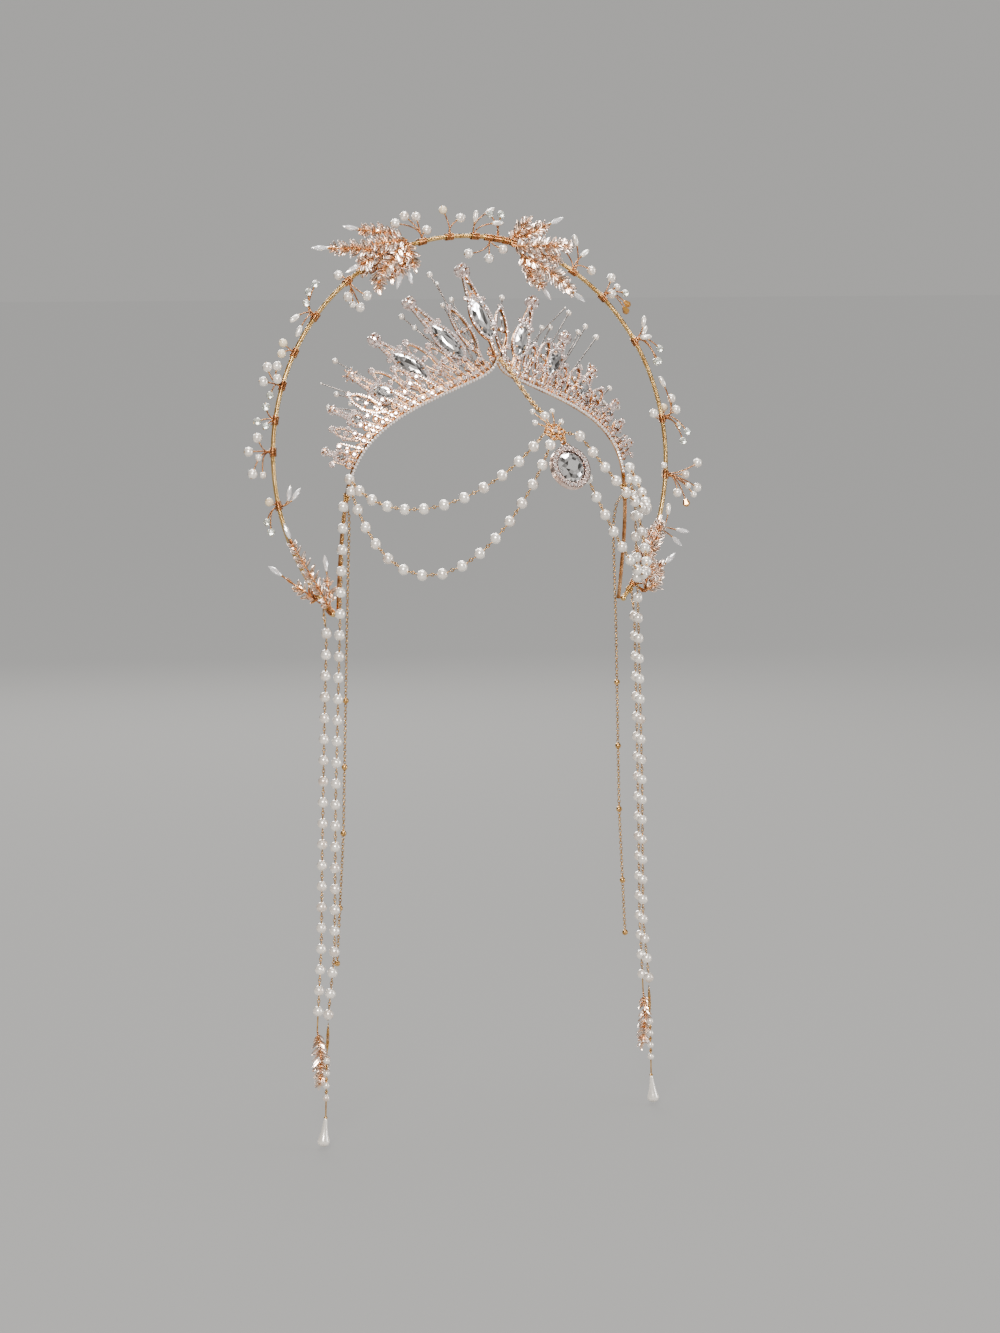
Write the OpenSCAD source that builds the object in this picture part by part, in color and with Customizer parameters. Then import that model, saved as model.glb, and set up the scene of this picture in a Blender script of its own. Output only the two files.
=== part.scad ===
// Halo crown: a tiara with a forehead drop and pearl strings, inside a tall wire hoop with
// pearl sprays and metal fronds. The face looks along -Y, the left side is -X, and the origin
// lies midway between the tiara's two ends.

/* [Halo hoop] */
// Radius of the hoop, to the middle of its wire
hoop_r = 124; // [118:1:128]
// Diameter of the hoop's wire
hoop_wire = 2.8; // [2.6:0.1:3]
// How far round each end of the hoop comes below its centre, in degrees
hoop_drop = 42; // [40:1:44]
// How far the hoop leans back, in degrees
hoop_lean = 5; // [3:1:7]
// Height of the hoop's centre above the tiara's ends
hoop_z = 9; // [7:1:11]
// How far the hoop's centre lies behind the tiara's ends
hoop_y = 16.5; // [15:0.5:18]

/* [Tiara] */
// Width between the tiara's ends
tiara_w = 172; // [168:1:176]
// Height of the band's peak above its ends
tiara_h = 66; // [62:1:70]
// Thickness of the paved band
band_d = 2.4; // [2:0.1:2.8]
// Thickness of the openwork that stands on the band
work_t = 1.6; // [1.2:0.1:2]
// Thickness of the long stones
crystal_t = 4.4; // [3:0.2:5]

/* [Pearl strings] */
// Diameter of a string's pearls
pearl_d = 6; // [5:0.1:6.4]
// Distance from one pearl to the next
pearl_pitch = 11.7; // [11:0.1:12.4]
// Thickness of the wire link between two pearls
link_d = 1.2; // [0.8:0.1:1.6]
// Thickness of the fine chains
chain_d = 2.2; // [1.6:0.1:2.6]

/* [Pendant] */
// Width of the pendant
pendant_w = 22.5; // [20:0.5:24]
// Height of the pendant
pendant_h = 24.5; // [22:0.5:26]
// How far the pendant leans back, in degrees
pendant_lean = 28; // [20:1:34]

/* [Sprays and fronds] */
// Diameter of the sprays' large pearls
spray_pearl_d = 5.6; // [5:0.1:6]
// Thickness of the sprays' twisted wires
stem_d = 0.8; // [0.6:0.1:1]
// Length of a frond's longest leaflet
leaf_len = 6.2; // [5:0.1:6.4]
// Width of a leaflet
leaf_w = 1.5; // [1.2:0.1:1.7]
// Distance from one pair of leaflets to the next
leaf_step = 3.2; // [3:0.1:3.6]

/* [Hidden] */
gap = 0.3;
gold = "#c9993f";
rose_gold = "#b9806a";
copper = "#8a5a3c";
silver = "#d8cdc8";
pearl_white = "#f3ece2";
champagne = "#dcc09a";
clear = "#dfe6e8";
brown = "#8c5f2a";

// The wire turn that holds a spray, a frond or a string to the hoop or to a leg
ring_wire = 1.4;
ring_r = hoop_wire / 2 + gap + ring_wire / 2;
leg_ring_r = band_d / 2 + gap + ring_wire / 2;

// Half of the band from its cusp to its end, in parts of the half width and of the height
band_cusp = [[0, 1], [0.02, 0.88], [0.09, 0.85], [0.21, 0.79]];
band_arm = [[0.21, 0.79], [0.52, 0.62], [0.91, 0.47], [1, 0]];
band_forward = 0.15;

// Spires on the right half: place along the band's half width, fan, lean, length,
// then the stone's middle, half height and half width, and the finial's radius
spires = [
    [0, 0, 42, 63, 28, 14, 5, 3.8],
    [0.105, 37, 31, 57.5, 27, 12, 3.9, 3.4],
    [0.349, 47, 35, 50, 25, 11, 4, 3.4],
    [0.593, 54, 38, 39.5, 18, 6, 4, 2.6],
    [0.79, 64, 38, 30, 15, 3, 2.2, 2.4],
    [0.953, 71, 38, 18.5, 9, 2.2, 1.8, 2.2]
];
stone_rows = 3;

// Leaf loops between the spires: place, fan, lean, length, half width
loops = [
    [0.05, 19, 36, 44, 4.2],
    [0.19, 42, 33, 30, 3.6],
    [0.27, 43, 33, 38, 4],
    [0.43, 49, 36, 28, 3.6],
    [0.51, 52, 37, 34, 3.8],
    [0.69, 59, 38, 30, 4],
    [0.87, 68, 38, 22, 3.2]
];

// Sprigs behind the tiara: name, side, first and last root, then the heads, each with its
// root along the band, its own place and its diameter
sprigs = [
    ["sprig_left_upper", -1, 0.06, 0.16, [
        [0.06, 20, 33, 111, 3.6],
        [0.11, 18, 28, 106, 2.4],
        [0.06, 11, 24, 97, 3.2],
        [0.09, 16, 25, 94, 3],
        [0.16, 43, 22, 88, 3.4],
        [0.13, 37.6, 16.9, 82, 3]
    ]],
    ["sprig_left_lower", -1, 0.56, 0.66, [
        [0.56, 81.1, 27.8, 64, 3.4],
        [0.64, 91, 25, 52, 1.2],
        [0.62, 84, 20, 46, 3.2],
        [0.57, 78, 15, 41, 3],
        [0.66, 89.7, 18.7, 39, 3]
    ]],
    ["sprig_right_upper", 1, 0.06, 0.42, [
        [0.06, 22, 26, 98, 3.4],
        [0.2, 45, 21, 81, 3.2],
        [0.22, 53, 26, 81, 3.4],
        [0.07, 66, 32, 92, 1.2],
        [0.26, 69, 33, 89, 3.4],
        [0.42, 74.4, 31.4, 78, 3.2],
        [0.4, 81.9, 36.2, 81, 3.2]
    ]],
    ["sprig_right_lower", 1, 0.46, 0.7, [
        [0.46, 89.4, 36.8, 74.8, 3.6],
        [0.7, 91, 24, 46, 3.2],
        [0.53, 94, 20, 35, 3.4],
        [0.51, 82, 15, 38, 3],
        [0.7, 77, 20.7, 53, 2.4]
    ]]
];

// Route of the forehead chain, from the peak down to the connector
forehead_route = [[0, -11.4, 65.3], [0, -22.3, 60.6], [0, -33, 53.4], [0, -45, 45.6],
    [0, -54, 40.6], [0, -61.97, 37.17]];

// Strings over the forehead: name, side, start and end angles round the head, start and end
// heights, sag, where round the flower they start, and how far from it the first pearl lies
head_r = 88;
head_start_r = 83;
swags = [
    ["swag_left_upper", -1, 8.4, 89, 25.5, 2.5, 26, 0, 15.0],
    ["swag_left_lower", -1, 4.2, 87, 22.5, -3.5, 57, -60, 5.0],
    ["swag_right_upper", 1, 8.4, 87, 25.5, 2.5, 31, 0, 8.2],
    ["swag_right_lower", 1, 4.2, 87, 22.5, -3.5, 62, -60, 13.8]
];

// Routes of the strings beside the face, on the right half
front_route = [[91.6, -4, -14], [94, -4, -74], [97.4, -4, -176], [98.6, -4, -260],
    [103, -4, -298], [104.4, -4, -345], [104.6, -4, -352]];
back_route = [[97.6, 6, -84], [99.4, 6, -140], [101, 6, -203], [102, 6, -259],
    [104.8, 6, -305]];
chain_route = [[84.4, 4.4, -19], [83.6, 6, -28], [83.8, 6.4, -40], [85.4, 6, -88],
    [88, 6, -195], [92.4, 6, -269]];
front_ring_z = -9;
chain_ring_z = -14.5;
back_ring_angle = -39;
small_beads = 4;
small_bead_d = 4;
small_pitch = 7;
drop_link = 7;
drop_len = 17;
drop_d = 7;
drop_tilt = -6;
chain_beads = [103, 140, 177, 219, 250];
chain_bead_d = 3.4;

// Bead shapes: name, diameter, length, colour
beads = [
    ["pearl", spray_pearl_d, spray_pearl_d, pearl_white],
    ["seed", 4, 4, pearl_white],
    ["rice", 3.2, 7.2, pearl_white],
    ["champagne", 5, 5, champagne],
    ["clear", 4.6, 4.6, clear],
    ["brown", 4.4, 4.6, brown],
    ["navette", 3, 9.5, clear]
];

// Sprays on the hoop: name, place round the hoop, then the beads, each with its kind, its
// distance out from the hoop, along it, and towards the front
sprays = [
    ["spray_top_left", 103, [
        ["pearl", 14, 12.5, 1],
        ["pearl", 16, 5.5, -1],
        ["pearl", 14, 0.5, 1.5],
        ["pearl", 5.4, -4.5, 0]
    ]],
    ["spray_top_pearl", 95, [["champagne", 15, 2, 1], ["pearl", 10, -8, 0]]],
    ["spray_top_rice", 87.5, [
        ["rice", 11, 0, 1],
        ["rice", 15.5, -10.5, -4],
        ["rice", 8, -11.5, 4.5]
    ]],
    ["spray_top_clear", 81, [["clear", 13, 6, 1], ["clear", 14, -1, 0]]],
    ["spray_inner_right", 83.5, [
        ["pearl", -10, 13.5, 1],
        ["pearl", -6, -8, 4],
        ["pearl", -11.5, -2, -1]
    ]],
    ["spray_right_rice", 57, [
        ["rice", 16, 7, 1],
        ["rice", 14, -2, -2],
        ["navette", 11, 12, -5],
        ["pearl", 7, -9, 1]
    ]],
    ["spray_right_pearl", 46, [
        ["pearl", 12, 3, 1],
        ["seed", 12, -3.4, -1.5],
        ["clear", 12, -8.2, 1.5],
        ["pearl", 5.6, -3, 0.5],
        ["brown", 9.6, -13.4, -1],
        ["brown", 5, -14.6, 2]
    ]],
    ["spray_right_upper", 31, [
        ["rice", 11, 6, 1],
        ["rice", 10, 1, -2],
        ["rice", 6, -1, 3.5],
        ["clear", 12, -11, 1],
        ["clear", 6, -16, 2],
        ["clear", 10, -17, -2.5]
    ]],
    ["spray_right_middle", 9, [
        ["pearl", -5.6, 4, 1.5],
        ["pearl", 9, 9.4, 0],
        ["pearl", 9.4, 3, 2],
        ["champagne", 4.6, 5.4, -3.4],
        ["rice", 5, 20, 2],
        ["clear", 11.4, -6, -2],
        ["clear", 14.4, -9.4, 2],
        ["clear", 13, -14, -1]
    ]],
    ["spray_right_low", 354, [
        ["seed", -3.4, 5, 4],
        ["pearl", 21, 7, 1],
        ["pearl", 14, 1, -1],
        ["pearl", 8.6, -9.4, 1],
        ["seed", 14.2, -5, 2.5],
        ["pearl", 23, -5, -1.5],
        ["seed", 19, -9, 2],
        ["brown", 17, -13.4, -2]
    ]],
    ["spray_right_end", 340, [
        ["navette", 16.6, 2, 1],
        ["navette", 16.7, -3.7, -2],
        ["rice", 4.8, 11, 0]
    ]],
    ["spray_inner_left", 127, [
        ["pearl", -6.4, 6, 1],
        ["pearl", -13, -4, 2],
        ["seed", -12, 5.4, -2],
        ["pearl", -16.4, 2, -3],
        ["pearl", 5, 1, -3]
    ]],
    ["spray_left_upper", 140, [
        ["clear", 12, -12.6, 1.5],
        ["clear", 11, -8, -1.5],
        ["clear", 9, -2, 1],
        ["rice", 9, 7.6, -1],
        ["rice", 4, 12.6, 1.5]
    ]],
    ["spray_left_champagne", 151, [["champagne", 8.4, -1.6, 0], ["champagne", 7, 4, 1]]],
    ["spray_left_pearl", 160, [
        ["pearl", 12, -6, 1],
        ["pearl", 6, -9, -1],
        ["pearl", 10.6, 1, -1.5],
        ["pearl", 4.8, -2, 2.4],
        ["clear", 6, 7, 1]
    ]],
    ["spray_left_clear", 169, [["clear", 7, -6, 1], ["clear", 10, 2, -1], ["clear", 6, 4, 2]]],
    ["spray_left_low", 177, [
        ["pearl", 10, -7, 1],
        ["pearl", 14, 0, -1],
        ["seed", 9, 3, 1],
        ["pearl", 13, 11, 1],
        ["seed", 6, 12, -1]
    ]],
    ["spray_left_end", 190.5, [
        ["champagne", 5.4, -3, 1],
        ["navette", -6.4, -6, 3],
        ["navette", -12, -4, -1],
        ["clear", 8, 7, -2],
        ["clear", 9, 12, 2]
    ]]
];

// Fronds on the hoop: name, place of the wire turn, then the blades, each with its root
// across and up from the hoop's centre, lift towards the front, direction, how it curves in
// degrees per millimetre, pairs of leaflets, and the crystals, each with its distance along
// the stem and beside it
fronds = [
    ["frond_top_left_1", 109.3, [[-36.5, 122.9, -3.9, 170, 0, 8, [[33.5, 0]]]]],
    ["frond_top_left_2", 117.5, [
        [-53.9, 115.6, 3.9, 178, 0, 9, [[38.5, 0]]],
        [-56.5, 113.8, 5.2, 206, 0, 4, [[19, 0]]]
    ]],
    ["frond_top_left_3", 107.4, [[-38.9, 120, 3.9, 254, 0, 5, [[22, 0], [18, 6]]]]],
    ["frond_top_left_4", 114.6, [[-54.8, 112.9, -3.9, 273, 0, 5, []]]],
    ["frond_top_right_1", 78.5, [[27, 120.2, -3.9, 21, 0, 8, [[36, 0]]]]],
    ["frond_top_right_2", 76.2, [
        [26.9, 117.8, 3.9, 0, 0, 11, []],
        [32.9, 112.7, 5.2, -34, 0, 11, [[42.5, 0]]]
    ]],
    ["frond_top_right_3", 71.5, [[36.2, 112.3, -3.9, -52, 0, 6, [[26, 0]]]]],
    ["frond_left_end_1", 220.8, [[-94.9, -81, 3.9, 130.5, -0.46, 13, [[51, 0]]]]],
    ["frond_left_end_2", 214.8, [
        [-97.8, -77, -3.9, 144, 0, 6, [[32.4, 0]]],
        [-91.1, -79.8, -5.2, 94, 0, 4, [[24.7, 0]]]
    ]],
    ["frond_right_end_1", 326.3, [[105.9, -62, 3.9, 60, 0.46, 7, []]]],
    ["frond_right_end_2", 323, [
        [107.6, -68.2, 5.2, 105, 0, 4, [[24, -1.7]]],
        [102.8, -80.1, 3.9, 47, 0, 5, [[27, -1.5]]]
    ]]
];
frond_t = 0.9;
leaf_angle = 50;

sides = [["left", -1], ["right", 1]];

function bezier(p, t) =
    p[0] * pow(1 - t, 3) + 3 * p[1] * t * pow(1 - t, 2) + 3 * p[2] * t * t * (1 - t) + p[3] * pow(t, 3);
function unit(v) = v / norm(v);
function on_band(q) = [q[0] * tiara_w / 2, -band_forward * q[1] * tiara_h, q[1] * tiara_h];

// The band's half as points, the heights at which it passes each place, and the leg under it
cusp_steps = 7;
arm_steps = 14;
leg_steps = 9;
band_half = concat(
    [for (i = [0:cusp_steps]) on_band(bezier(band_cusp, i / cusp_steps))],
    [for (i = [1:arm_steps]) on_band(bezier(band_arm, i / arm_steps))]
);
band_heights = [for (p = band_half) [p[0], p[2]]];
function band_at(part) =
    let (x = part * tiara_w / 2, z = lookup(x, band_heights))
    [x, -band_forward * z, z];

// A point of the hoop's own frame as a point of the part
function hoop_world(p) =
    [p[0], hoop_y + p[1] * sin(hoop_lean) - p[2] * cos(hoop_lean),
        hoop_z + p[1] * cos(hoop_lean) + p[2] * sin(hoop_lean)];
hoop_ball_d = hoop_wire + 0.8;
hoop_end = hoop_world([hoop_r * cos(hoop_drop), -hoop_r * sin(hoop_drop), 0]);
leg_end = hoop_end - [(hoop_ball_d + band_d) / 2 + gap, 0, 0];
leg_bend = [[tiara_w / 2, 0, 0], [tiara_w / 2 + 4, 1, -20], [leg_end[0] + 1, 6, -48], leg_end];
leg = [for (i = [1:leg_steps]) bezier(leg_bend, i / leg_steps)];
side_line = concat(band_half, leg);
function side_at(z) = [for (k = [0:2]) lookup(-z, [for (p = side_line) [-p[2], p[k]]])];

// A point at a distance along a route of straight stretches
function lengths(route, i = 0, so_far = 0) =
    i == len(route) - 1
        ? [so_far]
        : concat([so_far], lengths(route, i + 1, so_far + norm(route[i + 1] - route[i])));
function along(route, s) =
    let (l = lengths(route))
    [for (k = [0:2]) lookup(s, [for (i = [0:len(route) - 1]) [l[i], route[i][k]]])];
function route_length(route) = let (l = lengths(route)) l[len(l) - 1];

// One straight wire
module rod(a, b, d, n = 6) {
    v = b - a;
    translate(a)
        rotate([0, acos(v[2] / norm(v)), atan2(v[1], v[0])])
            cylinder(h = norm(v), d = d, $fn = n);
}

// Places a shape at one point with its own Z axis along the way there from another
module aimed(a, b) {
    v = b - a;
    translate(b)
        rotate([0, acos(v[2] / norm(v)), atan2(v[1], v[0])])
            children();
}

module ball(p, d) {
    translate(p)
        sphere(d = d, $fn = 32);
}

// A bead threaded on a wire that comes from another point, with its poles off the wire
module threaded(a, p, d) {
    aimed(a, p)
        rotate([90, 0, 0])
            sphere(d = d, $fn = 32);
}

// A ring of wire round the Z axis
module ring(r, wire) {
    rotate_extrude($fn = 32)
        translate([r, 0])
            circle(d = wire, $fn = 16);
}

// A tube swept along a route of points
module tube(route, d, n = 8, side = [0, 1, 0]) {
    last = len(route) - 1;
    ways = [for (i = [0:last]) unit(route[min(i + 1, last)] - route[max(i - 1, 0)])];
    rows = [for (i = [0:last])
        let (a = unit(cross(ways[i], side)), b = cross(ways[i], a))
        [for (k = [0:n - 1]) route[i] + (a * cos(360 * k / n) + b * sin(360 * k / n)) * d / 2]];
    points = [for (row = rows, p = row) p];
    walls = [for (i = [0:last - 1], k = [0:n - 1])
        let (j = (k + 1) % n)
        [i * n + k, (i + 1) * n + k, (i + 1) * n + j, i * n + j]];
    caps = [[for (k = [0:n - 1]) k], [for (k = [n - 1:-1:0]) last * n + k]];
    polyhedron(points = points, faces = concat(caps, walls), convexity = 4);
}

module in_hoop() {
    translate([0, hoop_y, hoop_z])
        rotate([90 - hoop_lean, 0, 0])
            children();
}

// The hoop's wire, with a small ball on each end
module halo_hoop() {
    color(gold)
        in_hoop() {
            rotate([0, 0, -hoop_drop])
                rotate_extrude(angle = 180 + 2 * hoop_drop, $fn = 180)
                    translate([hoop_r, 0])
                        circle(d = hoop_wire, $fn = 24);
            for (turn = [-hoop_drop, 180 + hoop_drop])
                rotate([0, 0, turn])
                    ball([hoop_r, 0, 0], hoop_ball_d);
        }
}

// A pointed oval, as points
function leaf_shape(w, h, n = 12) =
    [for (i = [0:n - 1])
        let (a = 360 * i / n)
        [w * sign(sin(a)) * pow(abs(sin(a)), 1.25), h * cos(a)]];

module on_spire(row) {
    translate(band_at(row[0]))
        rotate([0, row[1], 0])
            rotate([-row[2], 0, 0])
                children();
}

// A flat shape, drawn across and up, stood on its edge in a spire's frame
module openwork() {
    rotate([90, 0, 0])
        linear_extrude(work_t, center = true)
            children();
}

// One spire: a foot, a collet round its stone, a pierced neck and a finial
module spire(row) {
    length = row[3];
    middle = row[4];
    high = row[5];
    wide = row[6];
    rim = 1.4;
    neck_low = middle + high;
    neck_wide = wide * 0.8;
    on_spire(row) {
        openwork()
            difference() {
                union() {
                    hull() {
                        translate([-1.4, -0.6])
                            square([2.8, 1]);
                        translate([-1.1, middle - high - 1])
                            square([2.2, 1]);
                    }
                    translate([0, middle])
                        polygon(leaf_shape(wide + gap + rim, high + gap + rim));
                    hull() {
                        translate([-neck_wide, neck_low - 1.5])
                            square([neck_wide * 2, 1]);
                        translate([-1, length - 1])
                            square([2, 1]);
                    }
                }
                translate([0, middle])
                    polygon(leaf_shape(wide + gap, high + gap * 2));
                translate([0, (neck_low * 2 + length) / 3 + 1.4])
                    polygon(leaf_shape(neck_wide * 0.4, (length - neck_low) * 0.24, 6));
            }
        translate([0, 0, length])
            sphere(r = row[7], $fn = 7);
    }
}

// One open leaf between two spires, with a bar across it
module leaf_loop(row) {
    length = row[3];
    wide = row[4];
    half = length * 0.36;
    rim = 0.9;
    on_spire(row)
        openwork() {
            hull() {
                translate([-0.8, -0.6])
                    square([1.6, 1]);
                translate([-0.6, length - half * 2])
                    square([1.2, 1]);
            }
            difference() {
                translate([0, length - half])
                    polygon(leaf_shape(wide, half, 8));
                translate([0, length - half])
                    polygon(leaf_shape(wide - rim, half - rim * 1.4, 8));
            }
            translate([-wide + 0.5, length - half - 0.5])
                square([wide * 2 - 1, 1]);
        }
}

// Half of the tiara: band, leg, spires and leaves
module tiara_half() {
    tube(side_line, band_d, 6);
    for (i = [1:len(spires) - 1])
        spire(spires[i]);
    for (row = loops)
        leaf_loop(row);
}

module tiara_frame() {
    color(silver)
        union() {
            spire(spires[0]);
            tiara_half();
            mirror([1, 0, 0])
                tiara_half();
        }
}

// A long cut stone: flat table in front, widest in the middle, smaller flat behind
module crystal(row) {
    front = leaf_shape(row[6] * 0.5, row[5] * 0.66);
    widest = leaf_shape(row[6], row[5]);
    back = leaf_shape(row[6] * 0.35, row[5] * 0.45);
    edge = 0.5;
    skin = 0.05;
    color(clear)
        on_spire(row)
            translate([0, 0, row[4]])
                rotate([90, 0, 0])
                    hull() {
                        translate([0, 0, crystal_t / 2 - skin])
                            linear_extrude(skin)
                                polygon(front);
                        translate([0, 0, -edge / 2])
                            linear_extrude(edge)
                                polygon(widest);
                        translate([0, 0, -crystal_t / 2])
                            linear_extrude(skin)
                                polygon(back);
                    }
}

// Thin wires with small pearls, rising from one wire behind the band
module sprig(row) {
    behind = [0, (band_d + stem_d * 1.4) / 2 + gap, -0.6];
    steps = 6;
    rail = [for (i = [0:steps]) band_at(row[2] + (row[3] - row[2]) * i / steps) + behind];
    mirror([row[1] < 0 ? 1 : 0, 0, 0]) {
        color(copper) {
            tube(rail, stem_d * 1.4);
            for (head = row[4])
                rod(band_at(head[0]) + behind, [head[1], head[2], head[3]], stem_d);
        }
        color(pearl_white)
            for (head = row[4])
                ball([head[1], head[2], head[3]], head[4]);
    }
}

module forehead_chain() {
    color(gold)
        tube(forehead_route, chain_d, side = [1, 0, 0]);
}

// Gold flower where the strings meet, with a pearl above it and four small ones beside that,
// and a link below for the pendant
flower = [0, -75.6, 27.6];
flower_lean = 42;
petals = 6;
petal_r = 2.6;
petal_out = 3.9;
plate_t = 1.2;
top_pearl = [0, -64.6, 35.6];
side_pearls = [[6, -61.8, 38.2, 3.2], [8, -68.4, 32.6, 3.4]];
module connector() {
    link_at = [0, bail_y + bail_r - (bail_wire + stem_d) / 2 - gap + link_r, 0];
    color(gold)
        translate(flower)
            rotate([flower_lean, 0, 0]) {
                for (k = [0:petals - 1])
                    rotate([0, 0, 60 * k])
                        translate([petal_out, 0, 0])
                            cylinder(r = petal_r, h = plate_t, center = true, $fn = 32);
                cylinder(r = 3.4, h = plate_t + 0.6, center = true, $fn = 32);
            }
    color(gold) {
        rod(top_pearl, flower, link_d);
        rod(flower, pendant_world(link_at - [0, 0, link_r]), stem_d + 0.3);
        in_pendant()
            translate(link_at)
                rotate([0, 90, 0])
                    ring(link_r, stem_d);
    }
    color(pearl_white)
        ball(top_pearl, pearl_d * 0.92);
    for (side = [-1, 1], p = side_pearls) {
        place = [p[0] * side, p[1], p[2]];
        color(gold)
            rod(flower, place, stem_d);
        color(pearl_white)
            ball(place, p[3]);
    }
}

// The pendant's own frame: Z towards the viewer, Y up. It hangs by a small ring at its top.
pendant = [0, -92.6, 9.6];
bail_r = 1.7;
bail_wire = 0.9;
bail_y = pendant_h / 2 + bail_r - 0.5;
link_r = 2;
function pendant_world(p) =
    pendant + [p[0], p[1] * sin(pendant_lean) - p[2] * cos(pendant_lean),
        p[1] * cos(pendant_lean) + p[2] * sin(pendant_lean)];
module in_pendant() {
    translate(pendant)
        rotate([90 - pendant_lean, 0, 0])
            children();
}

function oval(w, h, n = 32) = [for (i = [0:n - 1]) [w / 2 * sin(360 * i / n), h / 2 * cos(360 * i / n)]];
pendant_rim = 3.2;
pendant_back = 1;
pendant_t = 3.4;

// Closed back, raised rim and the small ring that it hangs by
module pendant_setting() {
    inner_w = pendant_w - pendant_rim * 2;
    inner_h = pendant_h - pendant_rim * 2;
    color(silver)
        in_pendant() {
            difference() {
                translate([0, 0, -pendant_t / 2])
                    linear_extrude(pendant_t)
                        polygon(oval(pendant_w, pendant_h));
                translate([0, 0, pendant_back - pendant_t / 2])
                    linear_extrude(pendant_t)
                        polygon(oval(inner_w, inner_h));
            }
            translate([0, bail_y, 0])
                ring(bail_r, bail_wire);
        }
}

module pendant_stone() {
    w = pendant_w - pendant_rim * 2 - gap * 2;
    h = pendant_h - pendant_rim * 2 - gap * 2;
    floor_z = pendant_back - pendant_t / 2 + gap;
    girdle_z = pendant_t / 2 - 0.6;
    table_z = pendant_t / 2 + 1.6;
    skin = 0.05;
    color(clear)
        in_pendant()
            hull() {
                translate([0, 0, floor_z])
                    linear_extrude(skin)
                        polygon(oval(w * 0.6, h * 0.6, 16));
                translate([0, 0, girdle_z])
                    linear_extrude(0.4)
                        polygon(oval(w, h, 16));
                translate([0, 0, table_z - skin])
                    linear_extrude(skin)
                        polygon(oval(w * 0.58, h * 0.58, 16));
            }
}

// Pearls threaded along a route, a wire link from each to the next
module pearl_string(route, first, count, pitch = pearl_pitch, d = pearl_d) {
    places = [for (i = [0:count - 1]) along(route, first + i * pitch)];
    ends = concat([route[0]], places, [route[len(route) - 1]]);
    color(gold)
        for (i = [1:len(ends) - 1])
            rod(ends[i - 1], ends[i], link_d);
    color(pearl_white)
        for (i = [1:count])
            threaded(ends[i - 1], ends[i], d);
}

// A swag hangs round the head's front as a sagging line on an upright cylinder. It starts at
// the rim of one of the flower's petals and ends at the tiara's side.
swag_steps = 40;
function petal_rim(a) =
    let (r = petal_out + petal_r + gap + link_d * 0.4)
    flower + [r * cos(a), r * sin(a) * cos(flower_lean), r * sin(a) * sin(flower_lean)];
function swag_half(row) =
    let (last = [head_r * sin(row[3]), -head_r * cos(row[3]), row[5]], side = side_at(row[5]))
    concat(
        [petal_rim(row[7])],
        [for (i = [0:swag_steps])
            let (t = i / swag_steps, a = row[2] + (row[3] - row[2]) * t,
                r = head_r - (head_r - head_start_r) * pow(1 - t, 8))
            [r * sin(a), -r * cos(a), row[4] + (row[5] - row[4]) * t - row[6] * 4 * t * (1 - t)]],
        [side + unit(last - side) * (band_d / 2 + gap + link_d * 0.4)]
    );
function swag_route(row) = [for (p = swag_half(row)) [p[0] * row[1], p[1], p[2]]];
module swag(row) {
    route = swag_route(row);
    count = 1 + floor((route_length(route) - row[8] - pearl_d / 2) / pearl_pitch);
    pearl_string(route, row[8], count);
}

// The long string at the front of each side, with smaller pearls at its end
module tassel_front() {
    top = side_at(front_ring_z);
    end = route_length(front_route);
    small_first = end - drop_link - (small_beads - 0.5) * small_pitch;
    count = floor((small_first - 5.5) / pearl_pitch);
    body = [for (i = [0:count - 1]) along(front_route, i * pearl_pitch)];
    tip = [for (i = [0:small_beads - 1]) along(front_route, small_first + i * small_pitch)];
    hung = top + leg_ring_r * unit([1, -1, 0]);
    places = concat([hung], body, tip, [front_route[len(front_route) - 1]]);
    color(gold) {
        translate(top)
            ring(leg_ring_r, ring_wire);
        for (i = [1:len(places) - 1])
            rod(places[i - 1], places[i], link_d);
    }
    color(pearl_white)
        for (i = [1:count + small_beads])
            threaded(places[i - 1], places[i], i > count ? small_bead_d : pearl_d);
}

// The shorter string behind it, hung from the hoop's end
module tassel_back() {
    end = route_length(back_route);
    count = floor(end / pearl_pitch) + 1;
    out = [hoop_r * cos(back_ring_angle), hoop_r * sin(back_ring_angle), 0];
    hung = hoop_world(out + ring_r * unit(out));
    places = concat([hung], [for (i = [0:count - 1]) along(back_route, i * pearl_pitch)]);
    color(gold) {
        in_hoop()
            hoop_turn(back_ring_angle);
        for (i = [1:count])
            rod(places[i - 1], places[i], link_d);
        rod(places[count], back_route[len(back_route) - 1], link_d);
    }
    color(pearl_white)
        for (i = [1:count])
            threaded(places[i - 1], places[i], pearl_d);
}

// The fine chain beside them, with a gold bead here and there
module tassel_chain() {
    top = side_at(chain_ring_z);
    hung = top + leg_ring_r * unit([-1, 1, 0]);
    color(gold) {
        translate(top)
            ring(leg_ring_r, ring_wire);
        tube(concat([hung], chain_route), chain_d * 0.6, 6);
        for (s = chain_beads)
            ball(along(chain_route, s), chain_bead_d);
    }
}

// A white drop bead: a long cone that swells to a round foot
module tassel_drop() {
    top = front_route[len(front_route) - 1] - [0, 0, gap];
    r = drop_d / 2;
    cone = drop_len - r;
    color(pearl_white)
        translate(top)
            rotate([0, drop_tilt, 0])
                rotate_extrude($fn = 48)
                    polygon([[0, 0], [0.7, 0], [1.1, -2], [r * 0.75, -cone * 0.72],
                        [r, 1 - cone], [r * 0.86, -1 - cone], [r * 0.5, -2.4 - cone],
                        [0, -3 - cone]]);
}

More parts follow.
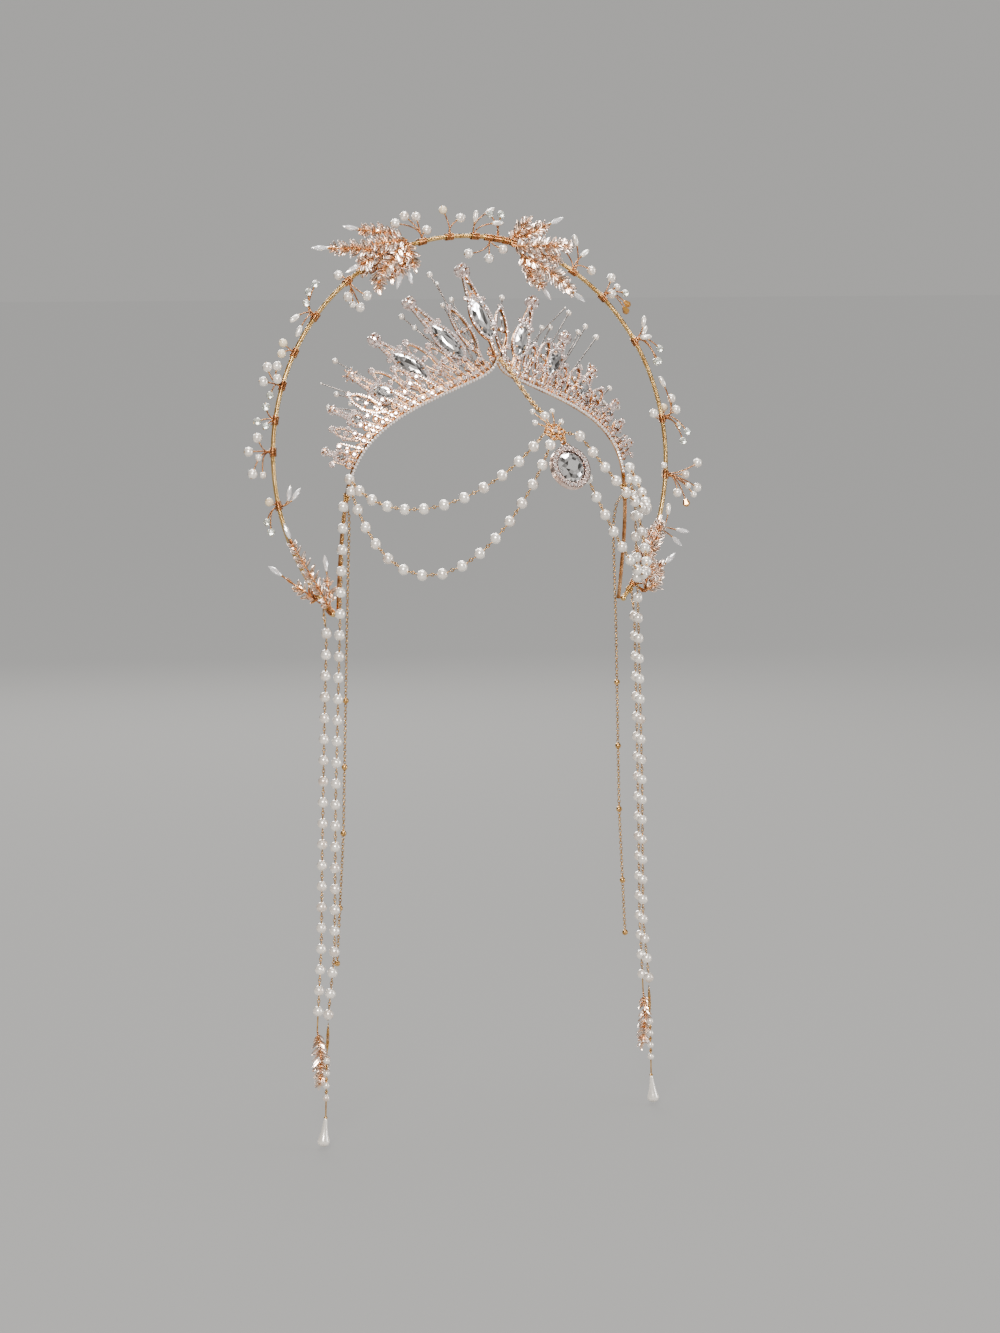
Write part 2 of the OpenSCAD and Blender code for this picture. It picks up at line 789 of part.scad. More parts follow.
// Bead kinds, each along its own Z axis. A wire ends in the middle of a round bead, and at the
// foot of a long one.
function bead_row(kind) = beads[search([kind], beads)[0]];
function wire_end(kind, start, place) =
    let (row = bead_row(kind))
    row[1] == row[2] ? place : place - unit(place - start) * (row[2] / 2 - 0.4);
module bead(kind) {
    row = bead_row(kind);
    r = row[1] / 2;
    h = row[2] / 2;
    color(row[3])
        if (kind == "rice")
            rotate_extrude($fn = 24)
                polygon([[0, -h], [r * 0.5, -h], [r * 0.8, -h * 0.8], [r, -h * 0.3], [r, h * 0.3],
                    [r * 0.8, h * 0.8], [r * 0.5, h], [0, h]]);
        else if (kind == "navette")
            rotate_extrude($fn = 24)
                polygon([[0, -h], [r * 0.4, -h], [r, -h * 0.1], [r, h * 0.1], [r * 0.1, h], [0, h]]);
        else if (kind == "brown")
            rotate_extrude($fn = 24)
                polygon([[0, -h], [r * 0.5, -h], [r, h * 0.4], [r * 0.6, h], [0, h]]);
        else
            sphere(r = r, $fn = 32);
}

// One wire turn round the hoop, at an angle round it
module hoop_turn(angle) {
    rotate([0, 0, angle])
        translate([hoop_r, 0, 0])
            rotate([90, 0, 0])
                ring(ring_r, ring_wire);
}

// A spray: its turn round the hoop, and a stem to each bead
module spray(row) {
    in_hoop() {
        color(copper)
            hoop_turn(row[1]);
        rotate([0, 0, row[1]])
            for (b = row[2]) {
                turn = b[2] / hoop_r * 180 / PI;
                place = [(hoop_r + b[1]) * cos(turn), (hoop_r + b[1]) * sin(turn), b[3]];
                start = [hoop_r, 0, 0] + ring_r * unit([place[0] - hoop_r, 0, b[3]]);
                color(copper)
                    rod(start, wire_end(b[0], start, place), stem_d);
                aimed(start, place)
                    bead(b[0]);
            }
    }
}

// A frond's outline: a narrow stem with pairs of pointed leaflets
stem_half = 0.5;
function leaflet(x, side, l) =
    let (way = [cos(leaf_angle), sin(leaf_angle) * side],
        across = [sin(leaf_angle), -cos(leaf_angle) * side],
        root = [x, stem_half * side])
    [root - [leaf_w / 2, 0], root + way * l * 0.55 - across * leaf_w / 2, root + way * l,
        root + way * l * 0.55 + across * leaf_w / 2, root + [leaf_w / 2, 0]];
function leaf_size(i, pairs) = leaf_len * (0.45 + 0.55 * sin(35 + 120 * i / (pairs - 1)));
function one_side(pairs, side) =
    [for (i = [0:pairs - 1], p = leaflet((i + 0.8) * leaf_step, side, leaf_size(i, pairs))) p];
function turned(list) = [for (i = [len(list) - 1:-1:0]) list[i]];
function frond_shape(pairs) =
    concat([[0, stem_half]], one_side(pairs, 1), [[(pairs + 0.6) * leaf_step, 0]],
        turned(one_side(pairs, -1)), [[0, -stem_half]]);

// A point of a straight frond, moved as the frond curves by so many degrees per millimetre
function curved(p, curve) =
    curve == 0 ? [p[0], p[1]] : let (r = 180 / PI / curve, a = p[0] * curve)
        [(r - p[1]) * sin(a), r - (r - p[1]) * cos(a)];

// A frond's plate along its own X axis, with its crystals
module frond_plate(curve, pairs, crystals) {
    color(rose_gold)
        linear_extrude(frond_t, center = true)
            polygon([for (p = frond_shape(pairs)) curved(p, curve)]);
    for (c = crystals) {
        foot = max(0.5, min(c[0] - 6, pairs * leaf_step)) - abs(c[1]) * 0.5;
        start = concat(curved([foot, 0], curve), 0);
        place = concat(curved(c, curve), 0);
        color(rose_gold)
            rod(start, wire_end("navette", start, place), stem_d);
        aimed(start, place)
            bead("navette");
    }
}

// A frond: its turn round the hoop, and a stem to each blade
module frond(row) {
    ring_at = hoop_r * [cos(row[1]), sin(row[1]), 0];
    in_hoop() {
        color(copper)
            hoop_turn(row[1]);
        for (blade = row[2]) {
            root = [blade[0], blade[1], blade[2]];
            out = norm([blade[0], blade[1]]) - hoop_r;
            grip = ring_at + ring_r * unit([cos(row[1]) * out, sin(row[1]) * out, blade[2]]);
            color(copper)
                rod(grip, root, stem_d + 0.2);
            translate(root)
                rotate([0, 0, blade[3]])
                    frond_plate(blade[4], blade[5], blade[6]);
        }
    }
}

// The small frond that hangs from the back string
module tassel_frond() {
    root = back_route[len(back_route) - 1] - [0, 0, gap];
    color(rose_gold)
        translate(root)
            rotate([90, 0, 0])
                rotate([0, 0, -92])
                    linear_extrude(frond_t, center = true)
                        polygon(frond_shape(9));
}

halo_hoop();
tiara_frame();
crystal(spires[0]);  // crystal_centre
for (s = sides, i = [1:stone_rows])
    mirror([s[1] < 0 ? 1 : 0, 0, 0]) crystal(spires[i]);
for (row = sprigs) sprig(row);
forehead_chain();
connector();
pendant_setting();
pendant_stone();
for (row = swags) swag(row);
for (s = sides) {
    flip = s[1] < 0 ? 1 : 0;
    mirror([flip, 0, 0]) tassel_front();
    mirror([flip, 0, 0]) tassel_back();
    mirror([flip, 0, 0]) tassel_chain();
    mirror([flip, 0, 0]) tassel_drop();
    mirror([flip, 0, 0]) tassel_frond();
}
for (row = sprays) spray(row);
for (row = fronds) frond(row);
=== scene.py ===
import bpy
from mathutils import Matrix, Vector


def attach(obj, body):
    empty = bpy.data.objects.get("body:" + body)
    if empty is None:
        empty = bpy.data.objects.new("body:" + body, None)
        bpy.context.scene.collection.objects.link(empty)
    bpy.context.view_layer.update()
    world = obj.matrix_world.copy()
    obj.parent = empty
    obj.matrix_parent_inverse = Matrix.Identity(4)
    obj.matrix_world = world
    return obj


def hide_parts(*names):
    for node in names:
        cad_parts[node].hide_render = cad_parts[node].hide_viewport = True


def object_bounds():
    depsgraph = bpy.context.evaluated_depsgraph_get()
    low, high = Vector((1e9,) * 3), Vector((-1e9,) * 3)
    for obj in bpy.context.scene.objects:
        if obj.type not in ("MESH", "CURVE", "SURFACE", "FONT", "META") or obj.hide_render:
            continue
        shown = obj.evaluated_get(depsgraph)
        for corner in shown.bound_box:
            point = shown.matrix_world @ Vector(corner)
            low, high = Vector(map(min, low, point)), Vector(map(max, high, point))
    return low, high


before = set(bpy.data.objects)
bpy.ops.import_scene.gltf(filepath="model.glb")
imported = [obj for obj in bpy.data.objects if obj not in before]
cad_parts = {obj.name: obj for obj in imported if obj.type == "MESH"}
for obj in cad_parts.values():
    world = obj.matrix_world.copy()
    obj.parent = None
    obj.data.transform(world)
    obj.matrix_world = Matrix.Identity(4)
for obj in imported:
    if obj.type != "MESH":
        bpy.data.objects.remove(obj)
cadBox = [list(corner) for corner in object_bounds()]

# Halo crown: a tiara with pearl strings inside a wire hoop with sprays and fronds.
# The plan is in millimetres, as the CAD part's is; meshes are made in metres.
import random
from math import copysign, cos, degrees, hypot, pi, radians, sin, sqrt
import bmesh
import bpy
from mathutils import Matrix, Vector

mm = 0.001
print("frame loaded:", len(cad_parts), "CAD nodes")

# Camera, floor and lights
view = {"azimuth": -28, "elevation": 7, "distance": 1.9, "aim": (0.0069, 0, -0.1075), "lens": 91.34,
        "sensor": 36}
studio = {
    "floorSize": 60,
    "floorDrop": 0.002,
    "floorColour": (0.40, 0.395, 0.385, 1),
    "floorRoughness": 0.8,
    "floorGlow": (0.44, 0.435, 0.425, 1),
    "floorGlowShare": 0.8,
    "skySeen": (0.385, 0.38, 0.37, 1),
    "skyFelt": (0.20, 0.195, 0.19, 1),
    "lampAim": (0, 0, -0.1),
    "lamps": [  # name, place, width, height, watts, colour
        ("keyLamp", (-1.2, -1.7, 1.0), 0.7, 1.0, 52, (1, 0.96, 0.91)),
        ("fillLamp", (1.7, -1.3, 0.2), 0.6, 1.2, 16, (0.95, 0.97, 1)),
        ("topLamp", (0.1, 0.1, 1.5), 1.0, 0.7, 22, (1, 1, 1)),
        ("backLamp", (0.6, 1.8, 0.6), 1.0, 0.8, 24, (1, 0.98, 0.95)),
    ],
}


def linkObject(name, data):
    made = bpy.data.objects.new(name, data)
    bpy.context.scene.collection.objects.link(made)
    return made


def makeCamera():
    a, e = radians(view["azimuth"]), radians(view["elevation"])
    back = Vector((sin(a) * cos(e), -cos(a) * cos(e), sin(e)))
    data = bpy.data.cameras.new("camera")
    data.lens = view["lens"]
    data.sensor_width = view["sensor"]
    camera = linkObject("camera", data)
    camera.location = Vector(view["aim"]) + back * view["distance"]
    camera.rotation_mode = "QUATERNION"
    camera.rotation_quaternion = (-back).to_track_quat("-Z", "Y")
    bpy.context.scene.camera = camera


# Adds a node to a tree. A value that is itself a socket is linked.
def put(tree, kind, sockets=None, **settings):
    node = tree.nodes.new(kind)
    for key, value in settings.items():
        setattr(node, key, value)
    for key, value in (sockets or {}).items():
        if isinstance(value, bpy.types.NodeSocket):
            tree.links.new(value, node.inputs[key])
        else:
            node.inputs[key].default_value = value
    return node


def calc(tree, operation, *values):  # a Math node's result
    return put(tree, "ShaderNodeMath", dict(enumerate(values)), operation=operation).outputs[0]


# Mixes two colours and returns the result's socket
def blendColours(tree, amount, first, second, kind="MIX"):
    node = put(tree, "ShaderNodeMix", data_type="RGBA", blend_type=kind)
    for index, source in ((0, amount), (6, first), (7, second)):
        tree.links.new(source, node.inputs[index])
    return node.outputs[2]


def makeStudio():
    world = bpy.data.worlds.new("studio")
    bpy.context.scene.world = world
    world.use_nodes = True
    tree = world.node_tree
    tree.nodes.clear()
    seen = put(tree, "ShaderNodeBackground", {"Color": studio["skySeen"]})
    felt = put(tree, "ShaderNodeBackground", {"Color": studio["skyFelt"]})
    rays = put(tree, "ShaderNodeLightPath")
    mix = put(tree, "ShaderNodeMixShader", {0: rays.outputs["Is Camera Ray"],
              1: felt.outputs[0], 2: seen.outputs[0]})
    put(tree, "ShaderNodeOutputWorld", {"Surface": mix.outputs[0]})
    low = cadBox[0][2] - studio["floorDrop"]
    half = studio["floorSize"] / 2
    mesh = bpy.data.meshes.new("floor")
    mesh.from_pydata([(-half, -half, low), (half, -half, low), (half, half, low), (-half, half, low)],
                     [], [(0, 1, 2, 3)])
    floor = linkObject("floor", mesh)
    paper = bpy.data.materials.new("floorPaper")
    paper.use_nodes = True
    tree = paper.node_tree
    skin = tree.nodes["Principled BSDF"]
    skin.inputs["Base Color"].default_value = studio["floorColour"]
    skin.inputs["Roughness"].default_value = studio["floorRoughness"]
    skin.inputs["Specular IOR Level"].default_value = 0
    glow = put(tree, "ShaderNodeEmission", {"Color": studio["floorGlow"]})
    seenRay = put(tree, "ShaderNodeLightPath").outputs["Is Camera Ray"]
    share = calc(tree, "MULTIPLY", seenRay, studio["floorGlowShare"])
    even = put(tree, "ShaderNodeMixShader", {0: share, 1: skin.outputs[0], 2: glow.outputs[0]})
    tree.links.new(even.outputs[0], tree.nodes["Material Output"].inputs["Surface"])
    mesh.materials.append(paper)
    for name, place, width, height, watts, colour in studio["lamps"]:
        lamp = bpy.data.lights.new(name, "AREA")
        lamp.shape = "RECTANGLE"
        lamp.size, lamp.size_y = width, height
        lamp.energy, lamp.color = watts, colour
        stand = linkObject(name, lamp)
        stand.location = place
        stand.rotation_mode = "QUATERNION"
        aim = Vector(studio["lampAim"]) - Vector(place)
        stand.rotation_quaternion = aim.to_track_quat("-Z", "Y")


makeCamera()
makeStudio()
bpy.context.scene.view_settings.look = "AgX - Medium High Contrast"
print("camera, floor and lights made")


# Shader groups that the materials share
def newGroup(name, inputs, outputs, kind="ShaderNodeTree"):
    tree = bpy.data.node_groups.new(name, kind)
    for label, sort, value in inputs:
        socket = tree.interface.new_socket(name=label, in_out="INPUT", socket_type="NodeSocket" + sort)
        if value is not None:
            socket.default_value = value
    for label, sort in outputs:
        tree.interface.new_socket(name=label, in_out="OUTPUT", socket_type="NodeSocket" + sort)
    return tree, put(tree, "NodeGroupInput"), put(tree, "NodeGroupOutput")


def remap(tree, value, low, high, least=0.0, most=1.0):  # a Map Range node's result
    node = put(tree, "ShaderNodeMapRange", {"Value": value, "From Min": low, "From Max": high,
               "To Min": least, "To Max": most})
    return node.outputs["Result"]


def cloudy(tree, size, detail, rough=0.5):  # noise on Object coordinates
    where = put(tree, "ShaderNodeTexCoord").outputs["Object"]
    node = put(tree, "ShaderNodeTexNoise", {"Vector": where, "Scale": size, "Detail": detail,
               "Roughness": rough})
    return node.outputs["Fac"]


def stored(tree, name):
    return put(tree, "ShaderNodeAttribute", attribute_name=name).outputs["Fac"]


def finishGroup(tree, out, results):
    for name, socket in results.items():
        tree.links.new(socket, out.inputs[name])
    return tree


# Metal that is bright where it is rubbed and dull between, with fine file marks. A painted highlight:
# a leaflet's colour is blended with a very light pink towards its tip, more on some leaflets than others.
def wornMetalGroup():
    tree, entry, out = newGroup("wornMetal", [
        ("Polished", "Color", (0.8, 0.6, 0.3, 1)), ("Dull", "Color", (0.4, 0.2, 0.1, 1)),
        ("Patch Size", "Float", 300), ("Mark Size", "Float", 2600), ("Shade", "Float", 0.6),
        ("Pale", "Float", 0)],
        [("Color", "Color"), ("Roughness", "Float"), ("Height", "Float")])
    given = entry.outputs
    patches = cloudy(tree, given["Patch Size"], 3, 0.6)
    marks = cloudy(tree, given["Mark Size"], 2, 0.7)
    amount = calc(tree, "MULTIPLY", remap(tree, patches, 0.38, 0.64), given["Shade"])
    colour = blendColours(tree, amount, given["Polished"], given["Dull"])
    # painted highlight: a very light pink blended in towards a leaflet's tip
    highlightColour = put(tree, "ShaderNodeRGB")
    highlightColour.outputs[0].default_value = (1, 0.93, 0.9, 1)
    each = remap(tree, stored(tree, "tint"), 0, 1, 0.5)
    tipHighlight = calc(tree, "MULTIPLY", each, remap(tree, stored(tree, "tip"), 0.12, 0.7))
    tipHighlight = calc(tree, "MULTIPLY", tipHighlight, given["Pale"])
    colour = blendColours(tree, tipHighlight, colour, highlightColour.outputs[0])
    return finishGroup(tree, out, {"Color": colour, "Roughness": remap(tree, amount, 0, 1, 0.16, 0.42),
                                   "Height": marks})


# Cut stone: its faces are painted light or dark from a random value on each, a painted glint and painted
# dark reflection; each stone is also tinted a little at random
def cutStoneGroup():
    tree, entry, out = newGroup("cutStone", [
        ("Bright", "Color", (1, 1, 1, 1)), ("Deep", "Color", (0.1, 0.1, 0.1, 1)),
        ("Tint", "Color", (1, 0.85, 0.8, 1)), ("Contrast", "Float", 0.7), ("Tinted", "Float", 0.4)],
        [("Color", "Color"), ("Roughness", "Float")])
    given = entry.outputs
    # painted glint and painted dark reflection: a random value per face blends the bright and the dark
    # colour
    facet = stored(tree, "facet")
    depth = calc(tree, "MULTIPLY", remap(tree, facet, 0.25, 0.85), given["Contrast"])
    base = blendColours(tree, depth, given["Bright"], given["Deep"])
    part = calc(tree, "MULTIPLY", stored(tree, "tint"), given["Tinted"])
    tinted = blendColours(tree, part, base, given["Tint"], "MULTIPLY")
    return finishGroup(tree, out, {"Color": tinted, "Roughness": remap(tree, facet, 0, 1, 0.03, 0.14)})


# Nacre: soft clouds, with a faint ripple in the skin
def nacreGroup():
    tree, entry, out = newGroup("nacre", [
        ("Light", "Color", (0.95, 0.92, 0.88, 1)), ("Deep", "Color", (0.85, 0.75, 0.7, 1)),
        ("Cloud Size", "Float", 260), ("Ripple Size", "Float", 1500)],
        [("Color", "Color"), ("Roughness", "Float"), ("Height", "Float")])
    given = entry.outputs
    clouds = cloudy(tree, given["Cloud Size"], 2)
    each = calc(tree, "MULTIPLY", remap(tree, clouds, 0.35, 0.7), stored(tree, "tint"))
    colour = blendColours(tree, each, given["Light"], given["Deep"])
    return finishGroup(tree, out, {"Color": colour, "Roughness": remap(tree, clouds, 0, 1, 0.18, 0.34),
                                   "Height": cloudy(tree, given["Ripple Size"], 1)})


wornMetal, cutStone, nacre = wornMetalGroup(), cutStoneGroup(), nacreGroup()


# Materials
metals = {  # polished, dull, amount of dull, patch size, depth of marks, strength of the painted highlight at a leaflet's tip
    "hoopGold": ((0.88, 0.66, 0.34), (0.42, 0.24, 0.08), 0.7, 160, 0.35, 0),
    "linkGold": ((0.84, 0.56, 0.26), (0.42, 0.21, 0.07), 0.7, 420, 0.35, 0),
    "flowerGold": ((0.86, 0.55, 0.28), (0.40, 0.17, 0.06), 0.85, 420, 0.35, 0),
    "chainGold": ((0.88, 0.66, 0.38), (0.48, 0.28, 0.12), 0.6, 420, 0.35, 0),
    "copperWire": ((0.72, 0.40, 0.20), (0.32, 0.12, 0.05), 0.8, 300, 0.35, 0),
    "roseLeaf": ((0.94, 0.67, 0.46), (0.50, 0.24, 0.11), 0.7, 260, 0.6, 0.95),
    "tiaraMetal": ((0.85, 0.54, 0.32), (0.36, 0.15, 0.05), 0.95, 190, 0.6, 0),
    "sprigWire": ((0.46, 0.41, 0.38), (0.20, 0.15, 0.13), 0.7, 300, 0.35, 0),
    "cupSilver": ((0.92, 0.76, 0.70), (0.55, 0.32, 0.24), 0.6, 300, 0.35, 0),
}
nacres = {  # light, deep, metallic, coat, roughness of the coat
    "pearlWhite": ((0.95, 0.91, 0.85), (0.70, 0.57, 0.48), 0.4, 1, 0.07),
    "pearlChampagne": ((0.83, 0.72, 0.54), (0.66, 0.50, 0.32), 0, 0.6, 0.12),
}
gems = {  # bright and deep: painted lit and painted dark faces (painted glint and painted dark reflection); tint, contrast, amount of tint, metallic, coat, roughness of the coat, clearness
    "pave": ((0.97, 0.93, 0.92), (0.30, 0.20, 0.18), (1, 0.74, 0.66), 0.75, 0.5, 0.55, 1, 0.03, 0),
    "bandPave": ((1, 0.98, 0.97), (0.52, 0.48, 0.47), (1, 0.9, 0.87), 0.6, 0.4, 0.4, 1, 0.03, 0),
    "marquise": ((0.98, 0.97, 0.97), (0.07, 0.065, 0.06), (1, 0.84, 0.76), 0.92, 0.4, 0.75, 1, 0.02, 0),
    "clearGlass": ((0.93, 0.96, 0.93), (0.66, 0.72, 0.68), (1, 0.95, 0.85), 0.5, 0.5, 0, 0.6, 0.03, 0.72),
    "longCrystal": ((0.98, 0.98, 0.99), (0.62, 0.62, 0.66), (1, 0.93, 0.9), 0.55, 0.4, 0.15, 1, 0.03, 0.25),
    "amberBead": ((0.72, 0.42, 0.14), (0.26, 0.10, 0.03), (1, 0.8, 0.6), 0.8, 0.4, 0.5, 1, 0.04, 0),
}
surface = {"bumpDepth": 0.00002, "pearlBump": 0.12, "glassIndex": 1.52}
finish = {}


def newMaterial(name, group, values, constants, bump=0.0):
    material = bpy.data.materials.new(name)
    material.use_nodes = True
    tree = material.node_tree
    skin = tree.nodes["Principled BSDF"]
    pattern = put(tree, "ShaderNodeGroup", node_tree=group)
    for key, value in values.items():
        pattern.inputs[key].default_value = value
    tree.links.new(pattern.outputs["Color"], skin.inputs["Base Color"])
    tree.links.new(pattern.outputs["Roughness"], skin.inputs["Roughness"])
    for key, value in constants.items():
        skin.inputs[key].default_value = value
    if bump:
        raised = put(tree, "ShaderNodeBump", {"Strength": bump, "Distance": surface["bumpDepth"],
                     "Height": pattern.outputs["Height"]})
        tree.links.new(raised.outputs["Normal"], skin.inputs["Normal"])
    finish[name] = material


for name, (polished, dull, shade, patch, bump, tipHighlight) in metals.items():
    newMaterial(name, wornMetal, {"Polished": (*polished, 1), "Dull": (*dull, 1), "Shade": shade,
                "Patch Size": patch, "Pale": tipHighlight}, {"Metallic": 1}, bump)
for name, (light, deep, metallic, coat, coatRough) in nacres.items():
    newMaterial(name, nacre, {"Light": (*light, 1), "Deep": (*deep, 1)}, {"Metallic": metallic,
                "Coat Weight": coat, "Coat Roughness": coatRough}, surface["pearlBump"])
for name, (bright, deep, tint, contrast, tinted, metallic, coat, coatRough, clear) in gems.items():
    constants = {"Metallic": metallic, "Coat Weight": coat, "Coat Roughness": coatRough}
    if clear:
        constants.update({"Transmission Weight": clear, "IOR": surface["glassIndex"]})
    newMaterial(name, cutStone, {"Bright": (*bright, 1), "Deep": (*deep, 1), "Tint": (*tint, 1),
                "Contrast": contrast, "Tinted": tinted}, constants)
print("materials made:", len(finish))


# Small parts that are repeated
def meshOf(name, bm, smooth, seed=1):
    bmesh.ops.recalc_face_normals(bm, faces=bm.faces)
    for vert in bm.verts:
        vert.co *= mm
    for face in bm.faces:
        face.smooth = smooth
    # a random value on each face; the cut stones paint each face lit or dark from it, a painted glint and
    # painted dark reflection
    layer = bm.faces.layers.float.new("facet")
    rng = random.Random(seed)
    for face in bm.faces:
        face[layer] = rng.random()
    mesh = bpy.data.meshes.new(name)
    bm.to_mesh(mesh)
    bm.free()
    return mesh


def around(count, laps=1):  # angles round a circle, the last one too
    return [2 * pi * i / count for i in range(count * laps + 1)]


def turned(angle, axis):  # a rotation by degrees
    return Matrix.Rotation(radians(angle), 3, axis)


# A closed body of revolution round Z from (radius, height) points; the ends close to a point
def lathe(bm, profile, sides, at=(0, 0, 0)):
    rings = []
    for r, z in profile:
        if r < 1e-6:
            rings.append([bm.verts.new((at[0], at[1], at[2] + z))])
        else:
            rings.append([bm.verts.new((at[0] + r * cos(2 * pi * k / sides),
                          at[1] + r * sin(2 * pi * k / sides), at[2] + z)) for k in range(sides)])
    for low, high in zip(rings, rings[1:]):
        for k in range(sides):
            j = (k + 1) % sides
            if len(low) == 1:
                bm.faces.new((low[0], high[j], high[k]))
            elif len(high) == 1:
                bm.faces.new((low[k], low[j], high[0]))
            else:
                bm.faces.new((low[k], low[j], high[j], high[k]))
    for ring, flip in ((rings[0], True), (rings[-1], False)):
        if len(ring) > 2:
            bm.faces.new(ring[::-1] if flip else ring)


# A closed wire loop, an oval of half sizes a and b along two directions
def wireLoop(bm, centre, u, v, a, b, wire, steps, sides):
    centre, u, v = Vector(centre), Vector(u), Vector(v)
    n = u.cross(v)
    rings = []
    for t in around(steps)[:-1]:
        point = centre + u * a * cos(t) + v * b * sin(t)
        out = (u * b * cos(t) + v * a * sin(t)).normalized()
        rings.append([bm.verts.new(point + (out * cos(2 * pi * k / sides)
                      + n * sin(2 * pi * k / sides)) * wire) for k in range(sides)])
    for i in range(steps):
        for k in range(sides):
            j = (k + 1) % sides
            bm.faces.new((rings[i][k], rings[(i + 1) % steps][k], rings[(i + 1) % steps][j], rings[i][j]))


# A cut body: the hull of rings given as (x half, y half, height, corners, turn)
def cutBody(bm, rings):
    made = []
    for x, y, z, count, turn in rings:
        for k in range(count):
            t = 2 * pi * (k + turn) / count
            made.append(bm.verts.new((x * cos(t), y * sin(t), z)))
    hull = bmesh.ops.convex_hull(bm, input=made)
    loose = [g for g in hull["geom_interior"] + hull["geom_unused"] if isinstance(g, bmesh.types.BMVert)]
    bmesh.ops.delete(bm, geom=list(set(loose)), context="VERTS")
    bmesh.ops.dissolve_limit(bm, angle_limit=radians(1), verts=bm.verts, edges=bm.edges)


# A drilled pearl: fuller than a ball where fullness is under one
def pearlPart(name, fullness, hole, end, sides, steps=9):
    bm = bmesh.new()
    arc = [pi * i / steps for i in range(1, steps)]
    lathe(bm, [(hole, -end), *[(sin(a) ** fullness, -cos(a)) for a in arc], (hole, end)], sides)
    return meshOf(name, bm, True)


def roundPearl():
    return pearlPart("roundPearl", 1, 0.1, 0.92, 16)


def ricePearl():
    return pearlPart("ricePearl", 0.8, 0.12, 0.99, 14)


cutRings = {  # x half, y half, height, corners, turn
    "brilliant": [(0.56, 0.56, 0.52, 6, 0), (1, 1, 0.06, 12, 0.5), (0.55, 0.55, -0.45, 5, 0)],
    "beadCrystal": [(0.4, 0.4, 0.88, 8, 0), (0.8, 0.8, 0.6, 8, 0.5), (1, 1, 0, 8, 0),
                    (0.8, 0.8, -0.6, 8, 0.5), (0.4, 0.4, -0.88, 8, 0)],
    "longCut": [(0.3, 0.3, -1, 6, 0), (0.86, 0.86, -0.5, 6, 0.5), (1, 1, -0.08, 6, 0),
                (0.9, 0.9, 0.3, 6, 0.5), (0.5, 0.5, 0.75, 6, 0), (0.1, 0.1, 1, 3, 0)],
    "amberCut": [(0.5, 0.5, -1, 6, 0), (1, 1, 0.3, 6, 0), (0.92, 0.92, 0.55, 6, 0.5),
                 (0.55, 0.55, 1, 6, 0)],
}


def cutPart(name, seed):
    bm = bmesh.new()
    cutBody(bm, cutRings[name])
    return meshOf(name, bm, False, seed)


def stoneCup():
    bm = bmesh.new()
    lathe(bm, [(0.6, -0.6), (1.08, -0.4), (1.16, 0.08), (0.98, 0.1), (0.9, -0.3)], 9)
    for k in range(4):
        t = pi / 4 + pi / 2 * k
        lathe(bm, [(0, -0.1), (0.22, 0.1), (0, 0.4)], 4, (cos(t), sin(t), 0))
    return meshOf("stoneCup", bm, True)


# Two eyes and a link between them, along Z between two pearls
def eyeLink(half, eye=0.95):
    bm = bmesh.new()
    for side in (-1, 1):
        wireLoop(bm, (0, 0, side * (half - 0.4 - eye)), (0, 0, 1), (1, 0, 0), eye, eye * 0.85, 0.24, 9, 4)
    middle = max(0.8, half - 1.5 - eye * 0.4)
    wireLoop(bm, (0, 0, 0), (0, 0, 1), (0, 1, 0), middle, 0.8, 0.24, 10, 4)
    return meshOf("eyeLink", bm, True)


def ovalLink(length, width, wire, steps, sides):
    bm = bmesh.new()
    wireLoop(bm, (0, 0, 0), (0, 0, 1), (1, 0, 0), length / 2, width / 2, wire, steps, sides)
    return meshOf("ovalLink", bm, True)


def wireTip():
    bm = bmesh.new()
    lathe(bm, [(0, -1), (0.75, -0.6), (1, 0), (0.75, 0.6), (0, 1)], 8)
    return meshOf("wireTip", bm, True)


# A leaflet along Z, one long and one wide: a blunt grain, grooved in front, with raised edges
def leafletPart():
    bm = bmesh.new()
    # how far along the leaflet a point is; roseLeaf paints a highlight towards the tip from it
    tip = bm.verts.layers.float.new("tip")
    stations = [(0, 0.12), (0.12, 0.34), (0.34, 0.5), (0.62, 0.5), (0.84, 0.36), (0.97, 0.12)]
    rings = []
    for t, w in stations:
        bend = 0.45 * t * t
        rings.append([bm.verts.new(p) for p in ((-w, bend + 0.1, t), (-w * 0.62, bend + 0.34, t),
                      (0, bend + 0.02, t), (w * 0.62, bend + 0.34, t), (w, bend + 0.1, t),
                      (0, bend - 0.32, t))])
        for vert in rings[-1]:
            vert[tip] = t
    for low, high in zip(rings, rings[1:]):
        for k in range(6):
            j = (k + 1) % 6
            bm.faces.new((low[k], low[j], high[j], high[k]))
    bm.faces.new(rings[0][::-1])
    bm.faces.new(rings[-1])
    return meshOf("leaflet", bm, False, 11)


print("small parts ready")


# Geometry nodes. A tree's last steps make its copies real and give them their finish.
def endTree(tree, entry, out, geometry):
    real = put(tree, "GeometryNodeRealizeInstances", {"Geometry": geometry})
    skinned = put(tree, "GeometryNodeSetMaterial", {"Geometry": real.outputs["Geometry"],
                  "Material": entry.outputs["Finish"]})
    return finishGroup(tree, out, {"Geometry": skinned.outputs["Geometry"]})


def named(tree, name, sort):  # an attribute that the points carry
    node = put(tree, "GeometryNodeInputNamedAttribute", {"Name": name}, data_type=sort)
    return node.outputs["Attribute"]


def vectors(tree, operation, values):  # a Vector Math node's result
    return put(tree, "ShaderNodeVectorMath", values, operation=operation).outputs["Vector"]


# A Random Value node from low to high; only the sockets of its own sort are in use
def chance(tree, seed, low, high):
    node = put(tree, "FunctionNodeRandomValue", {"Seed": seed}, data_type="FLOAT")
    ends = [s for s in node.inputs if s.enabled and s.name in ("Min", "Max")]
    for socket, value in zip(ends, (low, high)):
        if isinstance(value, bpy.types.NodeSocket):
            tree.links.new(value, socket)
        else:
            socket.default_value = value
    return [s for s in node.outputs if s.enabled][0]


